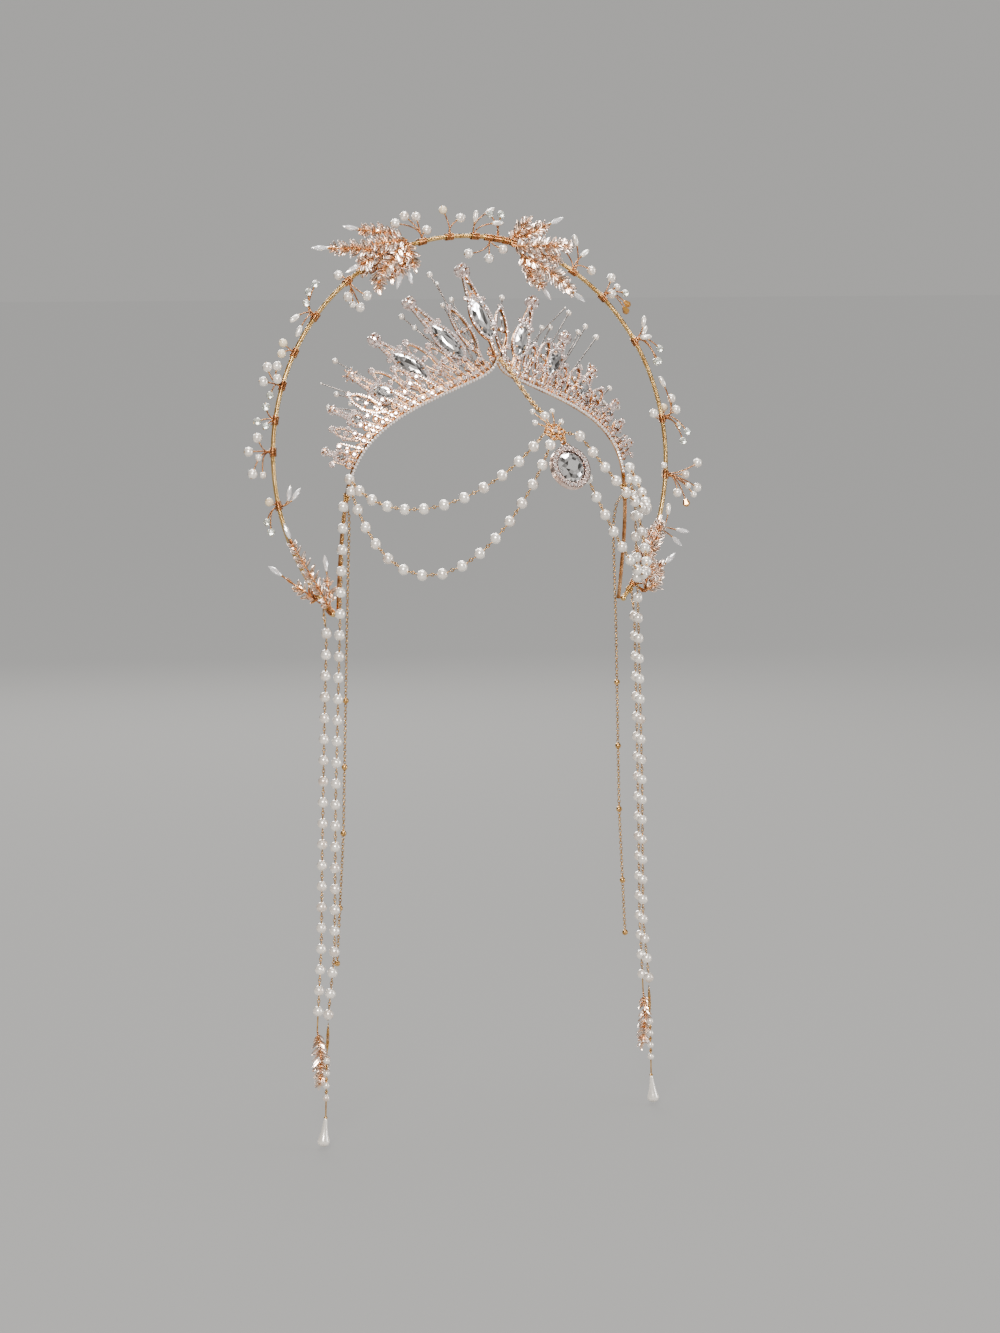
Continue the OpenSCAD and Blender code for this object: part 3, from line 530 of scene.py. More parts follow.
# One part at every point, turned by the point's own axes and scaled by its own size
def placeTree():
    tree, entry, out = newGroup("placeParts", [
        ("Geometry", "Geometry", None), ("Part", "Object", None), ("Scale", "Float", 1.0),
        ("Turn Jitter", "Float", 0.0), ("Seed", "Int", 1), ("Finish", "Material", None)],
        [("Geometry", "Geometry")], "GeometryNodeTree")
    given = entry.outputs
    facing, side, size = [named(tree, name, "FLOAT_VECTOR") for name in ("facing", "side", "size")]
    turnedTo = put(tree, "FunctionNodeAxesToRotation", {0: facing, 1: side}, primary_axis="Z",
                   secondary_axis="X")
    jitter = given["Turn Jitter"]
    angle = chance(tree, given["Seed"], calc(tree, "MULTIPLY", jitter, -1), jitter)
    spin = put(tree, "FunctionNodeAxisAngleToRotation", {"Axis": (0, 0, 1), "Angle": angle})
    both = put(tree, "FunctionNodeRotateRotation", {0: turnedTo.outputs[0], 1: spin.outputs[0]},
               rotation_space="LOCAL")
    part = put(tree, "GeometryNodeObjectInfo", {"Object": given["Part"]})
    copies = put(tree, "GeometryNodeInstanceOnPoints", {
        "Points": given["Geometry"], "Instance": part.outputs["Geometry"], "Rotation": both.outputs[0],
        "Scale": vectors(tree, "SCALE", {0: size, "Scale": given["Scale"]})})
    tinted = put(tree, "GeometryNodeStoreNamedAttribute", {"Geometry": copies.outputs["Instances"],
                 "Name": "tint"}, data_type="FLOAT", domain="INSTANCE")
    value = [s for s in tinted.inputs if s.enabled and s.name == "Value"][0]
    tree.links.new(chance(tree, given["Seed"], 0.0, 1.0), value)
    return endTree(tree, entry, out, tinted.outputs["Geometry"])


# Turns lines into wires of one or more strands wound round each line
def woundTree():
    tree, entry, out = newGroup("woundWire", [
        ("Geometry", "Geometry", None), ("Strands", "Int", 2), ("Strand Radius", "Float", 0.0004),
        ("Coil Radius", "Float", 0.0003), ("Pitch", "Float", 0.002), ("Step", "Float", 0.0005),
        ("Sides", "Int", 6), ("Finish", "Material", None)], [("Geometry", "Geometry")],
        "GeometryNodeTree")
    given = entry.outputs
    curve = put(tree, "GeometryNodeMeshToCurve", {"Mesh": given["Geometry"]})
    fine = put(tree, "GeometryNodeResampleCurve", {"Curve": curve.outputs["Curve"],
               "Length": given["Step"]}, mode="LENGTH")
    twins = put(tree, "GeometryNodeDuplicateElements", {"Geometry": fine.outputs["Curve"],
                "Amount": given["Strands"]}, domain="SPLINE")
    where = put(tree, "GeometryNodeSplineParameter")
    turns = calc(tree, "DIVIDE", where.outputs["Length"], given["Pitch"])
    share = calc(tree, "DIVIDE", twins.outputs["Duplicate Index"], given["Strands"])
    angle = calc(tree, "MULTIPLY", calc(tree, "ADD", turns, share), 2 * pi)
    normal = put(tree, "GeometryNodeInputNormal").outputs[0]
    tangent = put(tree, "GeometryNodeInputTangent").outputs[0]
    across = vectors(tree, "CROSS_PRODUCT", {0: tangent, 1: normal})
    moves = {}
    for i, (way, turn) in enumerate(((normal, "COSINE"), (across, "SINE"))):
        far = calc(tree, "MULTIPLY", calc(tree, turn, angle), given["Coil Radius"])
        moves[i] = vectors(tree, "SCALE", {0: way, "Scale": far})
    moved = put(tree, "GeometryNodeSetPosition", {"Geometry": twins.outputs["Geometry"],
                "Offset": vectors(tree, "ADD", moves)})
    circle = put(tree, "GeometryNodeCurvePrimitiveCircle", {"Resolution": given["Sides"],
                 "Radius": given["Strand Radius"]})
    solid = put(tree, "GeometryNodeCurveToMesh", {
        "Curve": moved.outputs["Geometry"], "Profile Curve": circle.outputs["Curve"],
        "Scale": named(tree, "thick", "FLOAT"), "Fill Caps": True})
    smooth = put(tree, "GeometryNodeSetShadeSmooth", {"Geometry": solid.outputs["Mesh"]})
    return endTree(tree, entry, out, smooth.outputs["Geometry"])


placeParts, woundWire = placeTree(), woundTree()


def grow(piece, tree, values):
    modifier = piece.modifiers.new(tree.name, "NODES")
    modifier.node_group = tree
    keys = {item.name: item.identifier for item in tree.interface.items_tree
            if item.item_type == "SOCKET" and item.in_out == "INPUT"}
    for name, value in values.items():
        modifier[keys[name]] = value
    graph = bpy.context.evaluated_depsgraph_get()
    made = bpy.data.meshes.new_from_object(piece.evaluated_get(graph), preserve_all_data_layers=True,
                                           depsgraph=graph)
    piece.modifiers.clear()
    old = piece.data
    piece.data = made
    bpy.data.meshes.remove(old)
    made.name = piece.name


def own(piece, nodes):
    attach(piece, "root")
    if nodes:
        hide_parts(*nodes)
    print(f"  {piece.name}: {sum(len(p.vertices) - 2 for p in piece.data.polygons)} triangles")


# Places are (point, facing, side, (x, y, z) size), all in millimetres
def scatter(name, part, places, skin, nodes=(), jitter=0.0, seed=1):
    mesh = bpy.data.meshes.new(name)
    mesh.from_pydata([Vector(p[0]) * mm for p in places], [], [])
    for label, index in (("facing", 1), ("side", 2), ("size", 3)):
        layer = mesh.attributes.new(label, "FLOAT_VECTOR", "POINT")
        layer.data.foreach_set("vector", [c for p in places for c in p[index]])
    piece = linkObject(name, mesh)
    source = linkObject(name + "Part", part)
    grow(piece, placeParts, {"Part": source, "Scale": 1.0, "Turn Jitter": jitter, "Seed": seed,
                             "Finish": finish[skin]})
    bpy.data.objects.remove(source)
    own(piece, nodes)


# Lines are lists of points, or (points, thickness factor), in millimetres
def wires(name, lines, skin, slot, nodes=(), *, strand, step, sides, strands=1, coil=0.0, pitch=2.0):
    verts, edges, thick = [], [], []
    for line in lines:
        points, factor = line if isinstance(line, tuple) else (line, 1.0)
        first = len(verts)
        verts += [Vector(p) * mm for p in points]
        edges += [(first + i, first + i + 1) for i in range(len(points) - 1)]
        thick += [factor] * len(points)
    mesh = bpy.data.meshes.new(name)
    mesh.from_pydata(verts, edges, [])
    mesh.attributes.new("thick", "FLOAT", "POINT").data.foreach_set("value", thick)
    piece = linkObject(name, mesh)
    grow(piece, woundWire, {"Strands": strands, "Strand Radius": strand * mm, "Coil Radius": coil * mm,
                            "Pitch": pitch * mm, "Step": step * mm, "Sides": sides,
                            "Finish": finish[skin]})
    own(piece, nodes)


def plainPiece(name, mesh, skin, nodes=()):
    mesh.materials.clear()
    mesh.materials.append(finish[skin])
    own(linkObject(name, mesh), nodes)


def skinNode(name, skin):  # gives a CAD node that stays in sight its finish
    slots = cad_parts[name].data.materials
    slots.clear()
    slots.append(finish[skin])


def moveMesh(mesh, place):  # from a flat plan to where the piece is
    for vert in mesh.vertices:
        vert.co = place(vert.co / mm) * mm
    return mesh


# The plan: the hoop, the tiara's band and its side lines
hoop = {"radius": 124, "wire": 2.8, "drop": 42, "lean": 5, "height": 9, "back": 16.5}
tiara = {"width": 172, "height": 66, "band": 2.4, "forward": 0.15}
gap = 0.3


# A direction on a flat plan (across, up, front) that leans back by an angle, as one of the part
def leaned(p, angle):
    s, c = sin(radians(angle)), cos(radians(angle))
    return Vector((p[0], p[1] * s - p[2] * c, p[1] * c + p[2] * s))


def hoopWay(p):
    return leaned(p, hoop["lean"])


def hoopPoint(p):
    return Vector((0, hoop["back"], hoop["height"])) + hoopWay(p)


def polar(angle, r, z=0.0):
    return Vector((r * cos(radians(angle)), r * sin(radians(angle)), z))


def bezier(p, t):
    s = 1 - t
    return [p[0][k] * s ** 3 + 3 * p[1][k] * t * s * s + 3 * p[2][k] * t * t * s + p[3][k] * t ** 3
            for k in range(len(p[0]))]


def onBand(q):
    return Vector((q[0] * tiara["width"] / 2, -tiara["forward"] * q[1] * tiara["height"],
                   q[1] * tiara["height"]))


bandCusp = [(0, 1), (0.02, 0.88), (0.09, 0.85), (0.21, 0.79)]
bandArm = [(0.21, 0.79), (0.52, 0.62), (0.91, 0.47), (1, 0)]
bandHalf = ([onBand(bezier(bandCusp, i / 7)) for i in range(8)]
            + [onBand(bezier(bandArm, i / 14)) for i in range(1, 15)])
hoopEnd = hoopPoint(polar(-hoop["drop"], hoop["radius"]))
legEnd = hoopEnd - Vector(((hoop["wire"] + 0.8 + tiara["band"]) / 2 + gap, 0, 0))
legBend = [(86, 0, 0), (90, 1, -20), (legEnd[0] + 1, 6, -48), tuple(legEnd)]
sideLine = bandHalf + [Vector(bezier(legBend, i / 9)) for i in range(1, 10)]


def lookup(value, table):  # straight steps between (key, value) rows
    if value <= table[0][0]:
        return table[0][1]
    for (a, u), (b, v) in zip(table, table[1:]):
        if value <= b:
            return u + (v - u) * (value - a) / (b - a)
    return table[-1][1]


def sideAt(z):
    return Vector([lookup(-z, [(-p[2], p[k]) for p in sideLine]) for k in range(3)])


def bandAt(part):
    x = part * tiara["width"] / 2
    z = lookup(x, [(p[0], p[2]) for p in bandHalf])
    return Vector((x, -tiara["forward"] * z, z))


def lengths(route):
    run = [0.0]
    for a, b in zip(route, route[1:]):
        run.append(run[-1] + (Vector(b) - Vector(a)).length)
    return run


def along(route, s):
    run = lengths(route)
    return Vector([lookup(s, [(run[i], route[i][k]) for i in range(len(route))]) for k in range(3)])


def evenly(route, pitch, start=0.0):  # points and directions at a pitch along a route
    total = lengths(route)[-1]
    count = max(1, int((total - start) / pitch) + 1)
    made = []
    for i in range(count):
        s = start + i * pitch
        way = along(route, min(total, s + 0.3)) - along(route, max(0, s - 0.3))
        made.append((along(route, s), way.normalized()))
    return made


def mirrored(p, side):
    return Vector((p[0] * side, p[1], p[2]))


def mirroredLine(points, side):
    return [mirrored(p, side) for p in points]


def anySide(way):  # a direction square to this one
    ref = Vector((0, 0, 1)) if abs(way.z) < 0.9 else Vector((1, 0, 0))
    return way.cross(ref).normalized()


# A place for scatter: a part's middle, the way it faces, and its size
def spot(p, way, *size):
    return (p, way, anySide(way), size if len(size) == 3 else size * 3)


# The hoop
hoopLook = {"core": {"strand": 1.02, "step": 2.4, "sides": 12},
            "winding": {"strand": 0.3, "step": 0.34, "sides": 5, "strands": 3, "coil": 1.1, "pitch": 2.5},
            "arcSteps": 220}


def buildHoop():
    ends = (-hoop["drop"], 180 + hoop["drop"])
    steps = hoopLook["arcSteps"]
    line = [hoopPoint(polar(ends[0] + (ends[1] - ends[0]) * i / steps, hoop["radius"]))
            for i in range(steps + 1)]
    wires("hoopCore", [line], "hoopGold", "gold_wire", ["halo_hoop"], **hoopLook["core"])
    wires("hoopWinding", [line], "hoopGold", "gold_wire", ["halo_hoop"], **hoopLook["winding"])
    bm = bmesh.new()
    for angle in ends:
        at = hoopPoint(polar(angle, hoop["radius"]))
        lathe(bm, [(0, -1.8), (0.9, -1.6), (1.5, -1), (1.8, 0), (1.5, 1), (0.9, 1.6), (0, 1.8)], 16, at)
    plainPiece("hoopEnds", meshOf("hoopEnds", bm, True), "hoopGold", ["halo_hoop"])


buildHoop()
print("hoop made")

# Sprays on the hoop
beadSize = {  # diameter and length
    "pearl": (5.6, 5.6), "seed": (4, 4), "rice": (3.2, 7.2), "champagne": (5, 5), "clear": (4.6, 4.6),
    "brown": (4.4, 4.6), "navette": (3, 9.5),
}
sprays = [  # name, place round the hoop, then each bead: kind, out, along, towards the front
    ("spray_top_left", 103, [("pearl", 14, 12.5, 1), ("pearl", 16, 5.5, -1), ("pearl", 14, 0.5, 1.5),
                             ("pearl", 5.4, -4.5, 0)]),
    ("spray_top_pearl", 95, [("champagne", 15, 2, 1), ("pearl", 10, -8, 0)]),
    ("spray_top_rice", 87.5, [("rice", 11, 0, 1), ("rice", 15.5, -10.5, -4), ("rice", 8, -11.5, 4.5)]),
    ("spray_top_clear", 81, [("clear", 13, 6, 1), ("clear", 14, -1, 0)]),
    ("spray_inner_right", 83.5, [("pearl", -10, 13.5, 1), ("pearl", -6, -8, 4),
                                 ("pearl", -11.5, -2, -1)]),
    ("spray_right_rice", 57, [("rice", 16, 7, 1), ("rice", 14, -2, -2), ("navette", 11, 12, -5),
                              ("pearl", 7, -9, 1)]),
    ("spray_right_pearl", 46, [("pearl", 12, 3, 1), ("seed", 12, -3.4, -1.5), ("clear", 12, -8.2, 1.5),
                               ("pearl", 5.6, -3, 0.5), ("brown", 9.6, -13.4, -1),
                               ("brown", 5, -14.6, 2)]),
    ("spray_right_upper", 31, [("rice", 11, 6, 1), ("rice", 10, 1, -2), ("rice", 6, -1, 3.5),
                               ("clear", 12, -11, 1), ("clear", 6, -16, 2), ("clear", 10, -17, -2.5)]),
    ("spray_right_middle", 9, [("pearl", -5.6, 4, 1.5), ("pearl", 9, 9.4, 0), ("pearl", 9.4, 3, 2),
                               ("champagne", 4.6, 5.4, -3.4), ("rice", 5, 20, 2),
                               ("clear", 11.4, -6, -2), ("clear", 14.4, -9.4, 2),
                               ("clear", 13, -14, -1)]),
    ("spray_right_low", 354, [("seed", -3.4, 5, 4), ("pearl", 21, 7, 1), ("pearl", 14, 1, -1),
                              ("pearl", 8.6, -9.4, 1), ("seed", 14.2, -5, 2.5), ("pearl", 23, -5, -1.5),
                              ("seed", 19, -9, 2), ("brown", 17, -13.4, -2)]),
    ("spray_right_end", 340, [("navette", 16.6, 2, 1), ("navette", 16.7, -3.7, -2), ("rice", 4.8, 11, 0)]),
    ("spray_inner_left", 127, [("pearl", -6.4, 6, 1), ("pearl", -13, -4, 2), ("seed", -12, 5.4, -2),
                               ("pearl", -16.4, 2, -3), ("pearl", 5, 1, -3)]),
    ("spray_left_upper", 140, [("clear", 12, -12.6, 1.5), ("clear", 11, -8, -1.5), ("clear", 9, -2, 1),
                               ("rice", 9, 7.6, -1), ("rice", 4, 12.6, 1.5)]),
    ("spray_left_champagne", 151, [("champagne", 8.4, -1.6, 0), ("champagne", 7, 4, 1)]),
    ("spray_left_pearl", 160, [("pearl", 12, -6, 1), ("pearl", 6, -9, -1), ("pearl", 10.6, 1, -1.5),
                               ("pearl", 4.8, -2, 2.4), ("clear", 6, 7, 1)]),
    ("spray_left_clear", 169, [("clear", 7, -6, 1), ("clear", 10, 2, -1), ("clear", 6, 4, 2)]),
    ("spray_left_low", 177, [("pearl", 10, -7, 1), ("pearl", 14, 0, -1), ("seed", 9, 3, 1),
                             ("pearl", 13, 11, 1), ("seed", 6, 12, -1)]),
    ("spray_left_end", 190.5, [("champagne", 5.4, -3, 1), ("navette", -6.4, -6, 3),
                               ("navette", -12, -4, -1), ("clear", 8, 7, -2), ("clear", 9, 12, 2)]),
]
sprayLook = {"stem": {"strand": 0.26, "step": 0.42, "sides": 5, "strands": 2, "coil": 0.2, "pitch": 1.7},
             "turn": {"strand": 0.36, "step": 0.9, "sides": 6}, "turns": 6, "turnPitch": 0.8,
             "bead": 0.48, "rootSpread": 1.2, "nearTip": (0.62, 0.62, 0.4), "farTip": (0.5, 0.5, 0.3)}


# Turns of wire wound round the hoop at an angle round it
def hoopTurns(angle, look, start=0.0):
    r = hoop["wire"] / 2 + look["turn"]["strand"]
    points = []
    for i in range(look["turns"] * 12 + 1):
        t = 2 * pi * i / 12 + start
        shift = (i / 12 - look["turns"] / 2) * look["turnPitch"]
        at = angle + degrees(shift / hoop["radius"])
        points.append(hoopPoint(polar(at, hoop["radius"] + r * cos(t), r * sin(t))))
    return points


def bowed(start, end, out, steps=7):  # a stem that leaves along out and ends at end
    middle = start + out * (end - start).length * 0.4
    return [start * (1 - t) ** 2 + middle * 2 * t * (1 - t) + end * t * t
            for t in [i / steps for i in range(steps + 1)]]


stems, turnLines, tips = [], [], []
beadsOf = {kind: [] for kind in beadSize}


def buildSprays():
    rng = random.Random(4)
    for _, angle, beads in sprays:
        turnLines.append(hoopTurns(angle, sprayLook))
        centre = polar(angle, hoop["radius"])
        swing = turned(angle, "Z")
        for kind, far, beside, front in beads:
            turn = degrees(beside / hoop["radius"])
            place = swing @ polar(turn, hoop["radius"] + far, front)
            local = swing.inverted() @ place
            away = Vector((local.x - hoop["radius"], 0, front)).normalized()
            start = centre + swing @ (away * (hoop["wire"] / 2 + 0.5))
            aside = sprayLook["rootSpread"]
            start += swing @ Vector((0, rng.uniform(-aside, aside), 0))
            a, b = hoopPoint(start), hoopPoint(place)
            wide, long = beadSize[kind]
            lead = hoopWay(swing @ away)
            line = bowed(a, b, lead)
            way = (line[-1] - line[-2]).normalized()
            foot = b - way * (long / 2 - 0.5)
            stems.append(bowed(a, foot, lead))
            way = (b - foot).normalized()
            half = sprayLook["bead"]  # a little less than the CAD part's bead
            beadsOf[kind].append(spot(b, way, wide * half, wide * half, long * half))
            tips.append(spot(b - way * (long / 2), way, *sprayLook["nearTip"]))
            if kind not in ("rice", "navette"):
                tips.append(spot(b + way * (long / 2 - 0.3), way, *sprayLook["farTip"]))


buildSprays()
sprayNames = [s[0] for s in sprays]
withBead = {kind: [s[0] for s in sprays if any(b[0] == kind for b in s[2])] for kind in beadSize}

# Fronds on the hoop
fronds = [  # name, place of the turn, blades: root x, y, lift, direction, curve, pairs, crystals
    ("frond_top_left_1", 109.3, [(-36.5, 122.9, -3.9, 170, 0, 8, [(33.5, 0)])]),
    ("frond_top_left_2", 117.5, [(-53.9, 115.6, 3.9, 178, 0, 9, [(38.5, 0)]),
                                 (-56.5, 113.8, 5.2, 206, 0, 4, [(19, 0)])]),
    ("frond_top_left_3", 107.4, [(-38.9, 120, 3.9, 254, 0, 5, [(22, 0), (18, 6)])]),
    ("frond_top_left_4", 114.6, [(-54.8, 112.9, -3.9, 273, 0, 5, [])]),
    ("frond_top_right_1", 78.5, [(27, 120.2, -3.9, 21, 0, 8, [(36, 0)])]),
    ("frond_top_right_2", 76.2, [(26.9, 117.8, 3.9, 0, 0, 11, []),
                                 (32.9, 112.7, 5.2, -34, 0, 11, [(42.5, 0)])]),
    ("frond_top_right_3", 71.5, [(36.2, 112.3, -3.9, -52, 0, 6, [(26, 0)])]),
    ("frond_left_end_1", 220.8, [(-94.9, -81, 3.9, 130.5, -0.46, 13, [(51, 0)])]),
    ("frond_left_end_2", 214.8, [(-97.8, -77, -3.9, 144, 0, 6, [(32.4, 0)]),
                                 (-91.1, -79.8, -5.2, 94, 0, 4, [(24.7, 0)])]),
    ("frond_right_end_1", 326.3, [(105.9, -62, 3.9, 60, 0.46, 7, [])]),
    ("frond_right_end_2", 323, [(107.6, -68.2, 5.2, 105, 0, 4, [(24, -1.7)]),
                                (102.8, -80.1, 3.9, 47, 0, 5, [(27, -1.5)])]),
]
shoots = {  # more blades on the same stems: root x, y, lift, direction, pairs
    "frond_top_left_2": [(-50, 116.5, -2, 217, 6), (-46, 117.5, 3, 196, 6)],
    "frond_top_left_1": [(-39, 121.5, 4, 187, 8)],
    "frond_top_left_3": [(-40, 120.5, 5, 286, 4), (-45, 118, 2, 260, 5), (-43, 119, 4, 232, 6)],
    "frond_top_right_1": [(27.5, 120.5, -2, 43, 5)],
    "frond_top_right_2": [(27, 119, 3, -17, 9)],
    "frond_top_right_3": [(33, 114, 2, -64, 5)],
    "frond_right_end_1": [(106.5, -66, 4.6, 124, 3), (107, -63, 5, 82, 5)],
    "frond_right_end_2": [(103.5, -79, 4.4, 72, 5), (103.5, -80, 5.6, 34, 3), (104, -75, 3.9, 44, 4)],
}
frondLook = {"leaf": 6.9, "wide": 2.3, "thick": 1.2, "step": 3.2, "angle": 50, "forward": 42,
             "openStep": 4.3, "openLeaf": 6.2, "endLeaf": 4.6, "fan": 7, "lean": (-14, 10), "roll": 30,
             "second": 0.82, "bow": 0.01225, "hangs": -92, "crystal": (1.5, 1.5, 4.75),
             "eye": (0.7, 0.7, 0.5), "turn": {"strand": 0.42, "step": 0.9, "sides": 6}, "turns": 4,
             "turnPitch": 0.95, "turnStart": 1.0,
             "stem": {"strand": 0.34, "step": 0.5, "sides": 5, "strands": 2, "coil": 0.24, "pitch": 1.9}}
leaves, frondStems, frondTurns, frondStones = [], [], [], []


def bladeWays(direction):  # along a blade and beside it
    return hoopWay(polar(direction, 1)), hoopWay(polar(direction + 90, 1))


# Fills in one blade; u is along it, v beside it, n in front of it, and it curves in its own plane
def growBlade(root, u, v, n, pairs, crystals, rng, lead=(), curve=0, sparse=False):
    length = (pairs + 0.6) * frondLook["step"]
    size = frondLook["openStep"] if sparse else frondLook["step"]
    count = round(pairs * frondLook["step"] / size)

    def flat(x, y=0.0):
        if not curve:
            return root + u * x + v * y
        r, a = degrees(1) / curve, radians(curve * x)
        return root + u * (r - y) * sin(a) + v * (r - (r - y) * cos(a))

    def spine(x):
        return flat(x) - n * (frondLook["bow"] * x * (x - length))

    frondStems.append([*lead, *[spine(length * i / 8) for i in range(9)]])
    for i in range(count):
        long = frondLook["openLeaf"] if sparse else frondLook["leaf"]
        long *= 0.45 + 0.55 * sin(radians(35 + 120 * i / max(1, count - 1)))
        swing = turned(curve * i * size, u.cross(v))
        ahead, aside = swing @ u, swing @ v
        for side in (-1, 1):
            for layer in (0, 1):
                if sparse and layer and i % 2:
                    continue
                turn = frondLook["angle"] + rng.uniform(-frondLook["fan"], frondLook["fan"])
                turn = radians(turn - 10 * layer)
                if layer:  # the second layer stands forward and backward by turns
                    tilt = frondLook["forward"] * (1 if i % 2 else -0.6) + rng.uniform(-8, 8)
                else:
                    tilt = rng.uniform(*frondLook["lean"])
                tilt = radians(tilt)
                way = ahead * cos(turn) + aside * side * sin(turn)
                way = (way * cos(tilt) + n * sin(tilt)).normalized()
                across = way.cross(n).normalized()
                across = turned(rng.uniform(-frondLook["roll"], frondLook["roll"]), way) @ across
                if across.cross(way).dot(n) > 0:
                    across = -across
                at = spine((i + 0.8 + 0.45 * layer) * size)
                grown = long * (frondLook["second"] if layer else 1)
                leaves.append((at, way, across, (frondLook["wide"], frondLook["thick"], grown)))
    end = (spine(length) - spine(length - 1)).normalized()
    tip = end * cos(0.2) + n * sin(0.2)
    leaves.append((spine(length - 0.6), tip, v,
                   (frondLook["wide"], frondLook["thick"], frondLook["endLeaf"])))
    half = frondLook["crystal"][2]
    for far, beside in crystals:
        place = flat(far, beside)
        start = spine(max(0.5, min(far - 6, pairs * frondLook["step"])) - abs(beside) * 0.5)
        way = (place - start).normalized()
        frondStems.append([start, (start + place) / 2, place - way * (half - 0.45)])
        frondStones.append(spot(place, way, *frondLook["crystal"]))
        tips.append(spot(place - way * (half - 0.05), way, *frondLook["eye"]))


def buildFronds():
    rng = random.Random(12)
    n = hoopWay((0, 0, 1))
    for name, angle, blades in fronds:
        frondTurns.append(hoopTurns(angle, frondLook, frondLook["turnStart"]))
        ringAt = polar(angle, hoop["radius"])
        for x, y, lift, direction, curve, pairs, crystals in blades:
            out = hypot(x, y) - hoop["radius"]
            away = (polar(angle, 1) * out + Vector((0, 0, lift))).normalized()
            grip = hoopPoint(ringAt + away * (hoop["wire"] / 2 + 0.5))
            root = hoopPoint((x, y, lift))
            lead = [grip, (grip + root) / 2]
            growBlade(root, *bladeWays(direction), n, pairs, crystals, rng, lead, curve,
                      "left_end" in name)
        for x, y, lift, direction, pairs in shoots.get(name, []):
            growBlade(hoopPoint((x, y, lift)), *bladeWays(direction), n, pairs, [], rng,
                      [hoopPoint(ringAt * 1.008)])


buildFronds()
frondNames = [f[0] for f in fronds]

# Strings of pearls
stringLook = {"pearl": 6, "pitch": 11.7, "small": 4, "smallPitch": 7, "smallCount": 4, "dropLink": 7,
              "room": 5.5, "swagRadius": 88, "startRadius": 83, "inset": 1.3, "eye": 0.48,
              "tip": (0.5, 0.5, 0.35), "smallEye": 0.6, "frontTie": -9, "backTie": 39, "tieReach": 2.2,
              "wire": {"strand": 0.4, "step": 0.7, "sides": 6}, "turns": 4, "turnPitch": 0.9}
backTurns = {"turn": {"strand": 0.42}, "turns": 3, "turnPitch": 1.0}  # where a back string is tied
swags = [  # name, side, angles, heights, sag, place on the flower, then the first pearl's distance
    ("swag_left_upper", -1, 8.4, 89, 25.5, 2.5, 26, 0, 15),
    ("swag_left_lower", -1, 4.2, 87, 22.5, -3.5, 57, -60, 5),
    ("swag_right_upper", 1, 8.4, 87, 25.5, 2.5, 31, 0, 8.2),
    ("swag_right_lower", 1, 4.2, 87, 22.5, -3.5, 62, -60, 13.8),
]
frontRoute = [(91.6, -4, -14), (94, -4, -74), (97.4, -4, -176), (98.6, -4, -260), (103, -4, -298),
              (104.4, -4, -345), (104.6, -4, -352)]
backRoute = [(97.6, 6, -84), (99.4, 6, -140), (101, 6, -203), (102, 6, -259), (104.8, 6, -305)]
chainRoute = [(84.4, 4.4, -19), (83.6, 6, -28), (83.8, 6.4, -40), (85.4, 6, -88), (88, 6, -195),
              (92.4, 6, -269)]
flower = {"at": (0, -75.6, 27.6), "lean": 48, "petals": 6, "petal": 2.6, "out": 3.9,
          "stem": {"strand": 0.26, "step": 0.4, "sides": 6, "strands": 2, "coil": 0.22, "pitch": 1.6},
          "wire": 0.42, "dots": 5, "grains": 9, "grain": 0.46, "spacer": (5.2, 0.7), "stud": 0.8,
          "centreStud": 1.5, "topPearl": ((0, -64.6, 35.6), 5.52),
          "sidePearls": (((6, -61.8, 38.2), 3.2), ((8, -68.4, 32.6), 3.4))}
linkHalf = (stringLook["pitch"] - stringLook["pearl"]) / 2  # half the space between two pearls
smallHalf = (stringLook["smallPitch"] - stringLook["small"]) / 2
pearls, smallPearls, linkPlaces, smallLinks, endWires = [], [], [], [], []


def flowerPoint(p):
    return Vector(flower["at"]) + leaned(p, flower["lean"])


def swagRoute(row):
    side, a0, a1, z0, z1, sag, petal = row[1:8]
    rim = flower["out"] + flower["petal"] + gap + stringLook["eye"]
    points = [flowerPoint(polar(petal, rim))]
    for i in range(41):
        t = i / 40
        a = radians(a0 + (a1 - a0) * t)
        r = stringLook["swagRadius"]
        r -= (r - stringLook["startRadius"]) * (1 - t) ** 8
        z = z0 + (z1 - z0) * t - sag * 4 * t * (1 - t)
        points.append(Vector((r * sin(a), -r * cos(a), z)))
    last, end = points[-1], sideAt(z1)
    points.append(end + (last - end).normalized() * (tiara["band"] / 2 + gap + stringLook["eye"]))
    return mirroredLine(points, side)


# Threads pearls on links, with a link from each pearl to the next and to what it hangs on
def thread(places, d, links, half, head=None, tail=None):
    store = pearls if d == stringLook["pearl"] else smallPearls
    for i, p in enumerate(places):
        a, b = places[max(0, i - 1)], places[min(len(places) - 1, i + 1)]
        way = (b - a).normalized()
        store.append(spot(p, way, d / 2))
        for end in (-0.5, 0.5):
            tips.append(spot(p + way * d * end, way, *stringLook["tip"]))
        if i:
            span = p - places[i - 1]
            clear = (span.length - d) / 2
            links.append(spot((p + places[i - 1]) / 2, span.normalized(), 1, 1, clear / half))
    for end, p in ((head, places[0]), (tail, places[-1])):
        if end is not None:
            way = (p - end).normalized()
            surface = p - way * d / 2
            middle = (end + surface) / 2
            reach = (surface - end).length / 2
            links.append(spot(middle, way, 1, 1, max(0.5, reach / half)))


def pearlPlaces(route, first, pitch, count):
    return [along(route, first + i * pitch) for i in range(count)]


def legTurns(top, side, turns):  # turns of wire round the tiara's side
    r = tiara["band"] / 2 + stringLook["wire"]["strand"]
    return [top + Vector((r * cos(t) * side, r * sin(t),
            -(t / (2 * pi) - turns / 2) * stringLook["turnPitch"])) for t in around(12, turns)]


